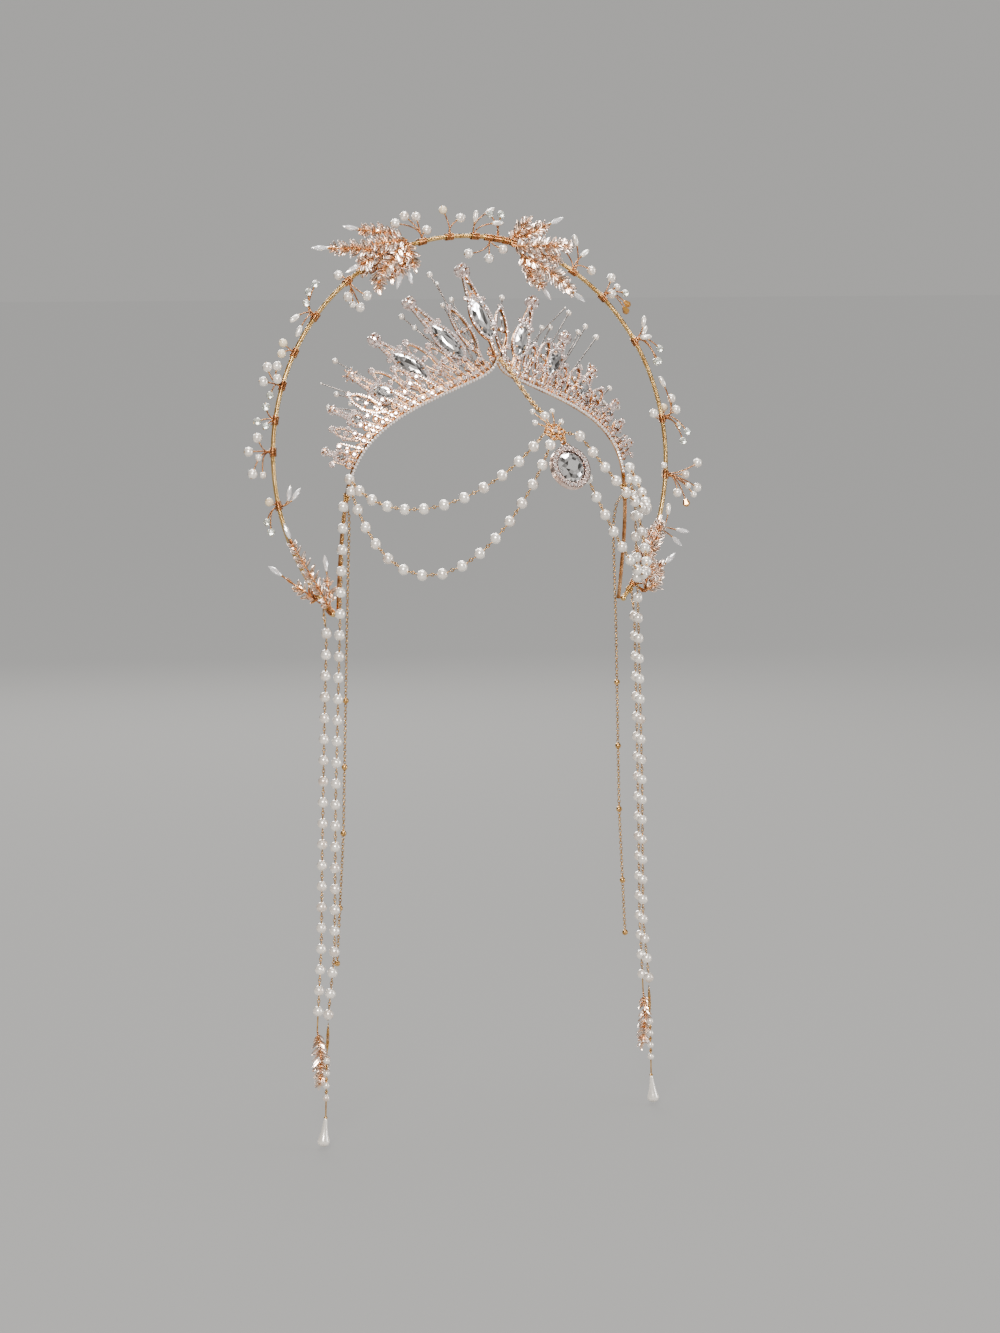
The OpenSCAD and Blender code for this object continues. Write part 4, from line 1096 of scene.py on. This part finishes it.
def buildStrings():
    pitch, pearl = stringLook["pitch"], stringLook["pearl"]
    for row in swags:
        route = swagRoute(row)
        count = 1 + int((lengths(route)[-1] - row[8] - pearl / 2) / pitch)
        first = route[0] + (Vector(flower["at"]) - route[0]).normalized() * stringLook["inset"]
        thread(pearlPlaces(route, row[8], pitch, count), pearl, linkPlaces, linkHalf, first, route[-1])
    for side in (-1, 1):
        top = mirrored(sideAt(stringLook["frontTie"]), side)
        route = mirroredLine(frontRoute, side)
        smallPitch, smallCount = stringLook["smallPitch"], stringLook["smallCount"]
        smallFirst = lengths(route)[-1] - stringLook["dropLink"] - (smallCount - 0.5) * smallPitch
        body = pearlPlaces(route, 0, pitch, int((smallFirst - stringLook["room"]) / pitch))
        tip = pearlPlaces(route, smallFirst, smallPitch, smallCount)
        hung = top + mirrored((1, -1, 0), side).normalized() * stringLook["tieReach"]
        thread(body, pearl, linkPlaces, linkHalf, hung)
        thread(tip, stringLook["small"], smallLinks, smallHalf, body[-1] - Vector((0, 0, pearl / 2)))
        endWires.append([tip[-1], route[-1] + Vector((0, 0, -0.8))])
        endWires.append(legTurns(top, side, stringLook["turns"]))
        route = mirroredLine(backRoute, side)
        places = pearlPlaces(route, 0, pitch, int(lengths(route)[-1] / pitch) + 1)
        angle = -stringLook["backTie"] if side > 0 else 180 + stringLook["backTie"]
        thread(places, pearl, linkPlaces, linkHalf, hoopPoint(polar(angle, hoop["radius"] + 2.0)))
        endWires.append([places[-1], route[-1] + Vector((0, 0, -0.6))])
        endWires.append(hoopTurns(angle, backTurns))


buildStrings()
stringNames = [s[0] for s in swags] + ["tassel_" + part + "_" + side for side in ("left", "right")
                                       for part in ("front", "back")]

# Fine chains
chainLook = {"beads": (103, 140, 177, 219, 250), "bead": 3.4, "pitch": 1.75, "turn": 90, "tie": -14.5,
             "turns": 3, "link": {"length": 2.5, "width": 1.5, "wire": 0.2, "steps": 10, "sides": 4},
             "foreheadPitch": 1.5, "foreheadTurn": 72,
             "foreheadLink": {"length": 2.7, "width": 2.3, "wire": 0.36, "steps": 12, "sides": 6}}
fineLinks, chainBeads, foreheadLinks = [], [], []
foreheadRoute = [(0, -11.4, 65.3), (0, -22.3, 60.6), (0, -33, 53.4), (0, -45, 45.6), (0, -54, 40.6),
                 (0, -61.97, 37.17)]


def layLinks(store, route, pitch, turn):  # each link is turned from the one before it
    for i, (p, way) in enumerate(evenly(route, pitch, pitch / 2)):
        store.append((p, way, turned(turn * i + 45, way) @ anySide(way), (1, 1, 1)))


def buildChains():
    for side in (-1, 1):
        top = sideAt(chainLook["tie"])
        hung = top + Vector((-1, 1, 0)).normalized() * stringLook["tieReach"]
        route = mirroredLine([hung, *chainRoute], side)
        layLinks(fineLinks, route, chainLook["pitch"], chainLook["turn"])
        endWires.append(legTurns(mirrored(top, side), side, chainLook["turns"]))
        flat = mirroredLine(chainRoute, side)
        for s in chainLook["beads"]:
            p = along(flat, s)
            way = (along(flat, s + 1) - p).normalized()
            chainBeads.append(spot(p, way, chainLook["bead"] / 2))
    layLinks(foreheadLinks, foreheadRoute, chainLook["foreheadPitch"], chainLook["foreheadTurn"])


buildChains()

# The small fronds and the drops below
drop = {"lay": -6, "sides": 32, "cap": (1.15, 1.15, 0.8), "profile": [  # radius and height
    (0, 0), (0.65, -0.1), (0.95, -1.2), (1.2, -3.5), (1.65, -6.5), (2.2, -9.2), (2.85, -11.4),
    (3.3, -12.7), (3.46, -13.6), (3.35, -14.5), (2.85, -15.4), (1.9, -16.1), (0.9, -16.4), (0, -16.5)]}


def bothSides(name):
    return [name + "_left", name + "_right"]


def buildTasselEnds():
    rng = random.Random(31)
    bm = bmesh.new()
    for side in (-1, 1):
        root = mirrored(backRoute[-1], side) + Vector((0, 0, -gap))
        flat = [polar(frondLook["hangs"] + quarter, 1) for quarter in (0, 90)]
        u, v = [Vector((p.x * side, 0, p.y)) for p in flat]
        growBlade(root, u, v, Vector((0, -1, 0)), 9, [], rng)
        top = mirrored(frontRoute[-1], side) + Vector((0, 0, -gap))
        first = len(bm.verts)
        lathe(bm, drop["profile"], drop["sides"])
        bm.verts.ensure_lookup_table()
        lay = turned(drop["lay"] * side, "Y")
        for vert in bm.verts[first:]:
            vert.co = top + lay @ vert.co
        way = lay @ Vector((0, 0, 1))
        tips.append(spot(top + way * -0.2, way, *drop["cap"]))
    plainPiece("tasselDrops", meshOf("tasselDrops", bm, True), "pearlWhite",
               bothSides("tassel_drop"))


buildTasselEnds()
print("strings, chains and drops laid out")

# Sprays, fronds and strings as meshes
tasselFronds, frontTassels = bothSides("tassel_frond"), bothSides("tassel_front")
sideChains = bothSides("tassel_chain")
anyTurn = 3.1  # a cut stone may be turned by this much either way, in radians
wires("sprayStems", stems, "copperWire", "gold_wire", sprayNames, **sprayLook["stem"])
wires("sprayTurns", turnLines, "copperWire", "gold_wire", sprayNames, **sprayLook["turn"])
scatter("sprayPearls", roundPearl(), beadsOf["pearl"] + beadsOf["seed"], "pearlWhite",
        sorted(set(withBead["pearl"] + withBead["seed"])), seed=5)
scatter("sprayRice", ricePearl(), beadsOf["rice"], "pearlWhite", withBead["rice"], seed=6)
scatter("sprayChampagne", roundPearl(), beadsOf["champagne"], "pearlChampagne",
        withBead["champagne"], seed=7)
scatter("sprayClear", cutPart("beadCrystal", 5), beadsOf["clear"], "clearGlass",
        withBead["clear"], jitter=anyTurn, seed=8)
scatter("sprayBrown", cutPart("amberCut", 9), beadsOf["brown"], "amberBead",
        withBead["brown"], seed=9)
scatter("sprayCrystals", cutPart("longCut", 7), beadsOf["navette"], "longCrystal",
        withBead["navette"], jitter=anyTurn, seed=10)
wires("frondStems", frondStems, "copperWire", "rose_gold", frondNames + tasselFronds,
      **frondLook["stem"])
wires("frondTurns", frondTurns, "copperWire", "rose_gold", frondNames, **frondLook["turn"])
scatter("frondLeaves", leafletPart(), leaves, "roseLeaf", frondNames + tasselFronds, seed=11)
scatter("frondCrystals", cutPart("longCut", 7), frondStones, "longCrystal",
        [f[0] for f in fronds if any(b[6] for b in f[2])], jitter=anyTurn, seed=12)
scatter("stringPearls", roundPearl(), pearls, "pearlWhite", stringNames, seed=13)
scatter("stringSmallPearls", roundPearl(), smallPearls, "pearlWhite", frontTassels, seed=14)
scatter("stringLinks", eyeLink(linkHalf), linkPlaces, "linkGold", stringNames, seed=15)
scatter("stringSmallLinks", eyeLink(smallHalf, stringLook["smallEye"]), smallLinks, "linkGold",
        frontTassels, seed=16)
wires("stringEnds", endWires, "linkGold", "gold_wire", stringNames, **stringLook["wire"])
scatter("fineChain", ovalLink(**chainLook["link"]), fineLinks, "linkGold", sideChains,
        seed=17)
scatter("fineChainBeads", roundPearl(), chainBeads, "linkGold", sideChains, seed=18)
scatter("foreheadChain", ovalLink(**chainLook["foreheadLink"]), foreheadLinks, "chainGold",
        ["forehead_chain"], seed=19)
scatter("wireTips", wireTip(), tips, "linkGold", seed=20)
print("sprays, fronds and strings made")

# The tiara
spires = [  # place, fan, lean, length, stone middle, stone half height, half width, finial radius
    (0, 0, 42, 63, 28, 14, 5, 3.8), (0.105, 37, 31, 57.5, 27, 12, 3.9, 3.4),
    (0.349, 47, 35, 50, 25, 11, 4, 3.4), (0.593, 54, 38, 39.5, 18, 6, 4, 2.6),
    (0.79, 64, 38, 30, 15, 3, 2.2, 2.4), (0.953, 71, 38, 18.5, 9, 2.2, 1.8, 2.2),
]
loops = [  # place, fan, lean, length, half width
    (0.05, 19, 36, 44, 4.2), (0.19, 42, 33, 30, 3.6), (0.27, 43, 33, 38, 4), (0.43, 49, 36, 28, 3.6),
    (0.51, 52, 37, 34, 3.8), (0.69, 59, 38, 30, 4), (0.87, 68, 38, 22, 3.2),
]
tiaraLook = {"rim": 1.4, "rimStone": 0.98, "rimPitch": 1.8, "neckPitch": 1.7, "loopStone": 0.68,
             "loopPitch": 1.4, "bandStone": 0.95, "bandPitch": 1.95, "bandStart": 0.4, "bandSink": 0.15,
             "scroll": {"strand": 0.34, "step": 0.7, "sides": 5},
             "wire": {"strand": 0.62, "step": 0.8, "sides": 6}, "facing": 0.5, "starPoints": 7,
             "starReach": 1.6, "finialSides": 12,
             "finial": [(0, -0.82), (0.5, -0.66), (0.82, 0), (0.5, 0.66), (0, 0.82)]}
footLook = {"curls": 32, "first": 0.02, "step": 0.0306, "heights": (10.5, 16, 8, 13.5, 12, 18),
            "curl": 1.9, "rings": ((3.1, 2.0, 1.0), (7.4, 1.7, 0.2)), "stone": 0.55, "pitch": 1.5}
paveStones, bigStones, bandStones, cupPlaces, finials = [], [], [], [], []
scrollLines, frameLines = [], []


def spireFrame(row, side):  # a function from (across, up, front) to a point of the part
    base = bandAt(row[0])
    turn = turned(row[1], "Y") @ turned(-row[2], "X")

    def point(x, z, y=0.0):
        return mirrored(base + turn @ Vector((x, -y, z)), side)

    return point


def leafPoint(a):  # a pointed oval of half sizes one
    s = sin(a)
    return copysign(abs(s) ** 1.25, s), cos(a)


def leafOutline(w, h, steps=60):
    return [(w * x, h * z) for x, z in [leafPoint(a) for a in around(steps)]]


def setStones(point, line, r, pitch, front, closed=False):  # a row of small stones along a line
    flat = [(p[0], 0, p[1]) for p in line]
    total = lengths(flat)[-1]
    count = max(1, round(total / pitch))
    for i in range(count if closed else count + 1):
        p = along(flat, total * i / count)
        ahead = along(flat, min(total, total * i / count + 0.2))
        at = point(p[0], p[2], front)
        face = (point(p[0], p[2], front + 1) - at).normalized()
        way = point(ahead[0], ahead[2] + 1e-4, front) - at
        side = way.normalized() if way.length > 1e-6 else anySide(face)
        paveStones.append((at, face, side, (r, r, r)))


def addStone(point, x, z, r, front=0.9):  # a larger stone in its cup
    at = point(x, z, front)
    face = (point(x, z, front + 1) - at).normalized()
    bigStones.append(spot(at, face, r))
    cupPlaces.append(spot(at, face, r))


def ballCluster(point, length, r, count, star):  # a finial: a ball of stones, some with a star
    golden = pi * (3 - sqrt(5))
    centre = point(0, length)
    finials.append((centre, r))
    for i in range(count):
        y = 1 - 2 * (i + 0.5) / count
        ring = sqrt(1 - y * y)
        way = Vector((ring * cos(golden * i), ring * sin(golden * i), y))
        size = r * (0.38 if i % 3 else 0.5)
        bigStones.append(spot(centre + way * r * 0.9, way, size))
    if star:
        far = r + tiaraLook["starReach"]
        for a in around(tiaraLook["starPoints"])[:-1]:
            p = point(cos(a) * far, length + sin(a) * far, 0.3)
            frameLines.append(([centre, p], 0.6))
            bigStones.append(spot(p, (p - centre).normalized(), 0.75))


def bothFaces(point, line, factor):  # a wire on the front and on the back of the plate
    for y in (tiaraLook["facing"], -tiaraLook["facing"]):
        frameLines.append(([point(x, z, y) for x, z in line], factor))


def dressSpire(row, side, number):
    length, middle, high, wide, ball = row[3:]
    point = spireFrame(row, side)
    r, pitch = tiaraLook["rimStone"], tiaraLook["neckPitch"]
    out = gap + tiaraLook["rim"] * 0.72
    outline = [(x, middle + z) for x, z in leafOutline(wide + out, high + out)]
    bothFaces(point, outline, 1.0)
    setStones(point, outline, r, tiaraLook["rimPitch"], 1.15, True)
    low = middle + high
    wideNeck = wide * 0.8
    for x in (-1, 1):
        neck = [(x * (wideNeck - 0.2), low - 0.9), (x * (wideNeck * 0.72), low + (length - low) * 0.3),
                (x, length - ball * 0.7)]
        bothFaces(point, neck, 0.9)
        setStones(point, neck[:2], r * 0.95, pitch, 1.1)
        setStones(point, neck[1:], r * 0.9, pitch, 1.1)
        bothFaces(point, [(x * 1.05, -0.6), (x * 0.95, middle - high - 0.6)], 0.8)
        for share in (0.3, 0.72):  # claws that hold the long stone
            a = share if x > 0 else 2 - share
            px, pz = leafOutline(wide, high, 100)[round(a * 50)]
            frameLines.append(([point(px * 1.2, middle + pz * 1.03, 0.6),
                                point(px * 1.08, middle + pz, 2.0),
                                point(px * 0.84, middle + pz * 0.95, 2.5)], 0.62))
        addStone(point, x * (wideNeck + 1.3), low + 0.2, 1.45)
        frameLines.append(([point(x * wideNeck * 0.7, low - 0.4, 0.3),
                            point(x * (wideNeck + 1.3), low + 0.2, 0.6)], 0.9))
    neckMiddle = (low * 2 + length) / 3 + 1.4
    for z, size in ((low + 1.9, 1.35), (low + 4.9, 1.0), (neckMiddle + (length - low) * 0.2, 0.8)):
        if z < length - ball:
            addStone(point, 0, z, size, 1.0)
    setStones(point, [(0, 1.2), (0, middle - high - 1)], r, 1.9, 1.0)
    ballCluster(point, length, ball * 1.08, 22 if number < 3 else 15, number == 3)


def dressLoop(row, side):
    length, wide = row[3:]
    point = spireFrame(row, side)
    half = length * 0.36
    outline = [(x, length - half + z) for x, z in leafOutline(wide - 0.3, half - 0.4)]
    bothFaces(point, outline, 0.75)
    bothFaces(point, [(0, -0.6), (0, length - half * 2 + 0.6)], 0.95)
    bothFaces(point, [(-wide + 0.5, length - half), (wide - 0.5, length - half)], 0.7)
    r, pitch = tiaraLook["loopStone"], tiaraLook["loopPitch"]
    setStones(point, outline, r, pitch, 0.95, True)
    setStones(point, [(0, 1), (0, length - half * 2)], r, pitch, 0.95)
    for x, z, size in ((0, length - half, 1.4), (0, length + 0.3, 1.7), (-wide + 0.2, length - half, 1.15),
                       (wide - 0.2, length - half, 1.15), (0, length - half * 2 + 0.2, 1.25),
                       (0, length - half * 1.5, 0.95), (0, length - half * 0.5, 0.95)):
        addStone(point, x, z, size, 1.0)
    for x in (-1, 1):  # inner scrolls that fill the leaf
        curl = [(x * (0.2 + (wide - 1.2) * sin(t * 2.6)), length - half * 1.8 + t * half * 1.5)
                for t in [i / 9 for i in range(10)]]
        scrollLines.append(([point(a, b, 0.2) for a, b in curl], 1.0))


# Curls and ringed stones that stand on the band and fill the foot between the spires
def dressBand(side):
    fans = [(row[0], row[1]) for row in spires]
    leans = [(row[0], row[2]) for row in spires]
    for i in range(footLook["curls"]):
        place = footLook["first"] + i * footLook["step"]
        row = (place, lookup(place, fans) + (5 if i % 2 else -5), lookup(place, leans) - 4)
        point = spireFrame(row, side)
        turn = 1 if i % 2 else -1
        high = footLook["heights"][i % 6] * (1.0 if place < 0.7 else 0.75)
        curl = [(0.5 * turn * sin(3 * t), high * t) for t in [k / 6 for k in range(7)]]
        for k in range(1, 12):
            a = k * 0.52
            r = footLook["curl"] * (1 - k / 15)
            across = turn * (footLook["curl"] - r * cos(a)) + curl[6][0]
            curl.append((across, high + r * sin(a)))
        depth = 1.1 if i % 3 else -0.8
        scrollLines.append(([point(x, z, depth) for x, z in curl], 1.15))
        addStone(point, turn * 1.7 + curl[6][0], high + 0.2, 1.5 if i % 2 else 1.2, depth + 0.5)
        setStones(point, [(0, 0.8), (0, high - 2)], footLook["stone"], footLook["pitch"], depth + 0.4)
        for z, size, y in footLook["rings"]:
            if z > 5 and i % 2:
                continue
            ring = [point(size * cos(t), z + size * sin(t), y) for t in around(14)]
            frameLines.append((ring, 0.62))
            addStone(point, 0, z, size * 0.62, y + 0.3)


def buildTiara():
    dressSpire(spires[0], 1, 0)
    for side in (-1, 1):
        for number, row in enumerate(spires[1:], 1):
            dressSpire(row, side, number)
        for row in loops:
            dressLoop(row, side)
        dressBand(side)
        r = tiaraLook["bandStone"]
        for p, way in evenly([tuple(q) for q in bandHalf], tiaraLook["bandPitch"],
                             tiaraLook["bandStart"]):
            face = Vector((0, -1, -tiara["forward"])).normalized()
            at = mirrored(p + face * (tiara["band"] / 2 - tiaraLook["bandSink"]), side)
            bandStones.append((at, mirrored(face, side), mirrored(way, side), (r, r, r)))
    scatter("tiaraPave", cutPart("brilliant", 3), paveStones, "pave",
            jitter=anyTurn, seed=21)
    scatter("tiaraStones", cutPart("brilliant", 3), bigStones, "pave",
            jitter=anyTurn, seed=22)
    scatter("tiaraCups", stoneCup(), cupPlaces, "cupSilver", seed=23)
    scatter("bandStones", cutPart("brilliant", 3), bandStones, "bandPave", seed=24)
    wires("tiaraScrolls", scrollLines, "tiaraMetal", "rhinestone_silver", **tiaraLook["scroll"])
    wires("tiaraWires", frameLines, "tiaraMetal", "rhinestone_silver", **tiaraLook["wire"])
    bm = bmesh.new()
    for at, r in finials:
        lathe(bm, [(a * r, b * r) for a, b in tiaraLook["finial"]], tiaraLook["finialSides"], at)
    plainPiece("tiaraFinials", meshOf("tiaraFinials", bm, True), "cupSilver")
    skinNode("tiara_frame", "tiaraMetal")


# Long cut stones from rings: shares of the width and of the height, depth in front, corners
marquiseRings = [(0.36, 0.50, 2.7, 8), (0.64, 0.72, 2.35, 12), (0.90, 0.90, 1.7, 16),
                 (1.12, 1.06, 1.05, 24), (1.0, 1.0, 0.75, 16), (0.45, 0.55, -1.6, 8)]


def marquiseMesh():
    bm = bmesh.new()
    for row, side in [(spires[0], 1)] + [(r, s) for s in (-1, 1) for r in spires[1:]]:
        middle, high, wide = row[4:7]
        deep = 1.0 if high > 5 else 0.75
        point = spireFrame(row, side)
        part = bmesh.new()
        made = []
        for ring, (w, h, y, count) in enumerate(marquiseRings):
            for k in range(count):
                x, z = leafPoint(2 * pi * (k + (0.5 if ring in (1, 3) else 0)) / count)
                made.append(part.verts.new(point(x * wide * w, middle + z * high * h, y * deep)))
        bmesh.ops.convex_hull(part, input=made)
        loose = [v for v in part.verts if not v.link_faces]
        bmesh.ops.delete(part, geom=loose, context="VERTS")
        piece = bpy.data.meshes.new("stone")
        part.to_mesh(piece)
        part.free()
        bm.from_mesh(piece)
        bpy.data.meshes.remove(piece)
    return meshOf("marquiseStones", bm, False, 25)


buildTiara()
sideCrystals = [f"crystal_{side}_{i}" for side in ("left", "right") for i in (1, 2, 3)]
plainPiece("marquiseStones", marquiseMesh(), "marquise", ["crystal_centre"] + sideCrystals)
print("tiara made")

# Sprigs behind the tiara
sprigLook = {"wire": {"strand": 0.22, "step": 0.6, "sides": 5, "strands": 2, "coil": 0.18, "pitch": 1.8},
             "rail": 1.3, "clear": 1.12}
sprigs = [  # name, side, ends of the rail on the band, then each head: place, x, y, z, diameter
    ("sprig_left_upper", -1, 0.06, 0.16, [
        (0.06, 20, 33, 111, 3.6), (0.11, 18, 28, 106, 2.4), (0.06, 11, 24, 97, 3.2),
        (0.09, 16, 25, 94, 3), (0.16, 43, 22, 88, 3.4), (0.13, 37.6, 16.9, 82, 3)]),
    ("sprig_left_lower", -1, 0.56, 0.66, [
        (0.56, 81.1, 27.8, 64, 3.4), (0.64, 91, 25, 52, 1.2), (0.62, 84, 20, 46, 3.2),
        (0.57, 78, 15, 41, 3), (0.66, 89.7, 18.7, 39, 3)]),
    ("sprig_right_upper", 1, 0.06, 0.42, [
        (0.06, 22, 26, 98, 3.4), (0.2, 45, 21, 81, 3.2), (0.22, 53, 26, 81, 3.4), (0.07, 66, 32, 92, 1.2),
        (0.26, 69, 33, 89, 3.4), (0.42, 74.4, 31.4, 78, 3.2), (0.4, 81.9, 36.2, 81, 3.2)]),
    ("sprig_right_lower", 1, 0.46, 0.7, [
        (0.46, 89.4, 36.8, 74.8, 3.6), (0.7, 91, 24, 46, 3.2), (0.53, 94, 20, 35, 3.4),
        (0.51, 82, 15, 38, 3), (0.7, 77, 20.7, 53, 2.4)]),
]


def buildSprigs():
    lines, heads = [], []
    behind = Vector((0, (tiara["band"] + sprigLook["clear"]) / 2 + gap, -0.6))
    for _, side, first, last, rows in sprigs:
        rail = [bandAt(first + (last - first) * i / 6) + behind for i in range(7)]
        lines.append((mirroredLine(rail, side), sprigLook["rail"]))
        for at, x, y, z, d in rows:
            root, head = bandAt(at) + behind, Vector((x, y, z))
            across = (head - root).cross(Vector((0, 1, 0))).normalized()
            middle = (root + head) / 2 + across * 0.5
            stem = [root, (root + middle) / 2, middle, (middle + head) / 2, head]
            lines.append(mirroredLine(stem, side))
            way = mirrored((head - root).normalized(), side)
            heads.append(spot(mirrored(head, side), way, d / 2))
    names = [s[0] for s in sprigs]
    wires("sprigWires", lines, "sprigWire", "rhinestone_silver", names, **sprigLook["wire"])
    scatter("sprigPearls", roundPearl(), heads, "pearlWhite", names, seed=26)


buildSprigs()

# The flower with its pearls, and the pendant
pendant = {"at": (0, -92.6, 9.6), "lean": 28, "width": 22.5, "height": 24.5, "rim": 3.2, "thick": 3.4,
           "stones": 26, "stone": 1.12, "cup": 1.06, "grain": 0.5, "grainRows": (0.88, 1.105),
           "linkAbove": 4.05, "link": 2, "linkWire": 1.6,
           "cut": [(0.4, 3.5, 8, 0), (0.62, 3.15, 12, 0.5), (0.84, 2.4, 16, 0), (1, 1.35, 24, 0.5),
                   (1, 1.0, 24, 0.5), (0.6, -0.35, 8, 0.5)]}  # share, height, corners, turn


def pendantPoint(p):
    return Vector(pendant["at"]) + leaned(p, pendant["lean"])


def flatRing(bm, at, r, wire, steps, sides):
    wireLoop(bm, at, (1, 0, 0), (0, 1, 0), r, r, wire, steps, sides)


# One open petal: its rim, a smaller ring inside it, and small ovals between the two
def petalRings(bm, a, x, y):
    r, wire = flower["petal"], flower["wire"]
    flatRing(bm, (x, y, 0.1), r - 0.35, wire, 22, 6)
    flatRing(bm, (x * 1.04, y * 1.04, 0.3), r * 0.42, 0.3, 14, 5)
    for j in range(flower["dots"]):
        b = a + 2 * pi * j / flower["dots"]
        c, d = cos(b), sin(b)
        wireLoop(bm, (x + c * r * 0.62, y + d * r * 0.62, 0.15), (c, d, 0), (-d, c, 0), r * 0.24,
                 r * 0.15, 0.2, 9, 4)


def buildFlower():
    bm = bmesh.new()
    grains, studs, lines = [], [], []
    face = (flowerPoint((0, 0, 1)) - flowerPoint((0, 0, 0))).normalized()
    for k in range(flower["petals"]):
        a = radians(60 * k)
        x, y = flower["out"] * cos(a), flower["out"] * sin(a)
        petalRings(bm, a, x, y)
        studs.append(spot(flowerPoint((x * 1.04, y * 1.04, 0.5)), face, flower["stud"]))
        r = flower["petal"] - 0.3
        for j in range(flower["grains"]):
            b = a + radians(-128 + 32 * j)
            p = flowerPoint((x + r * cos(b), y + r * sin(b), 0.6))
            grains.append(spot(p, face, flower["grain"]))
        b, (far, size) = a + radians(30), flower["spacer"]
        grains.append(spot(flowerPoint((far * cos(b), far * sin(b), 0.3)), face, size))
    lathe(bm, [(0, -0.9), (1.8, -0.8), (2.5, 0.1), (2.0, 1.0), (1.2, 1.2), (0, 1.0)], 20)
    flatRing(bm, (0, 0, 0.9), 2.2, 0.34, 22, 6)
    plates = moveMesh(meshOf("flowerPlates", bm, True), flowerPoint)
    plainPiece("flowerPlates", plates, "flowerGold", ["connector"])
    studs.append(spot(flowerPoint((0, 0, 1.3)), face, flower["centreStud"]))
    scatter("flowerStones", cutPart("brilliant", 3), studs, "pave", ["connector"],
            seed=27)
    scatter("flowerGrains", wireTip(), grains, "flowerGold", ["connector"], seed=28)
    centre, (top, d) = Vector(flower["at"]), flower["topPearl"]
    top = Vector(top)
    heads = [(top, (top - centre).normalized(), Vector((1, 0, 0)), [d / 2] * 3)]
    lines.append([centre, top])
    for side in (-1, 1):
        for at, d in flower["sidePearls"]:
            p = mirrored(at, side)
            heads.append(spot(p, (p - centre).normalized(), d / 2))
            lines.append([centre, (centre + p) / 2 + Vector((0, -0.6, 0.6)), p])
    linkY, r = pendant["height"] / 2 + pendant["linkAbove"] - gap, pendant["link"]
    ring = [pendantPoint((0, linkY + r * cos(t), r * sin(t))) for t in around(20)]
    lines.append((ring, pendant["linkWire"]))
    lines.append([centre, pendantPoint((0, linkY, -r))])
    scatter("flowerPearls", roundPearl(), heads, "pearlWhite", ["connector"], seed=29)
    wires("flowerWires", lines, "flowerGold", "gold_wire", ["connector"], **flower["stem"])


def buildPendant():
    face = (pendantPoint((0, 0, 1)) - pendantPoint((0, 0, 0))).normalized()
    across = Vector((1, 0, 0))
    w, h, rim = pendant["width"] / 2, pendant["height"] / 2, pendant["rim"]
    stones, grains, cups = [], [], []
    oval = [((w - rim / 2) * sin(t), 0, (h - rim / 2) * cos(t)) for t in around(90)]
    total, count = lengths(oval)[-1], pendant["stones"]
    for i in range(count):
        p = along(oval, total * i / count)
        at = pendantPoint((p[0], p[2], pendant["thick"] / 2 - 0.1))
        stones.append((at, face, across, [pendant["stone"]] * 3))
        cups.append((at, face, across, [pendant["cup"]] * 3))
        q = along(oval, total * (i + 0.5) / count)
        for share in pendant["grainRows"]:
            at = pendantPoint((q[0] * share, q[2] * share, pendant["thick"] / 2 - 0.2))
            grains.append((at, face, across, [pendant["grain"]] * 3))
    scatter("pendantStones", cutPart("brilliant", 3), stones, "pave",
            jitter=anyTurn, seed=32)
    scatter("pendantCups", stoneCup(), cups, "cupSilver", seed=33)
    scatter("pendantGrains", wireTip(), grains, "cupSilver", seed=34)
    a, b = w - rim - gap, h - rim - gap
    bm = bmesh.new()
    cutBody(bm, [(a * share, b * share, *rest) for share, *rest in pendant["cut"]])
    stone = moveMesh(meshOf("pendantStone", bm, False, 35), pendantPoint)
    plainPiece("pendantStone", stone, "marquise", ["pendant_stone"])
    skinNode("pendant_setting", "cupSilver")


buildFlower()
buildPendant()
print("sprigs, flower and pendant made")
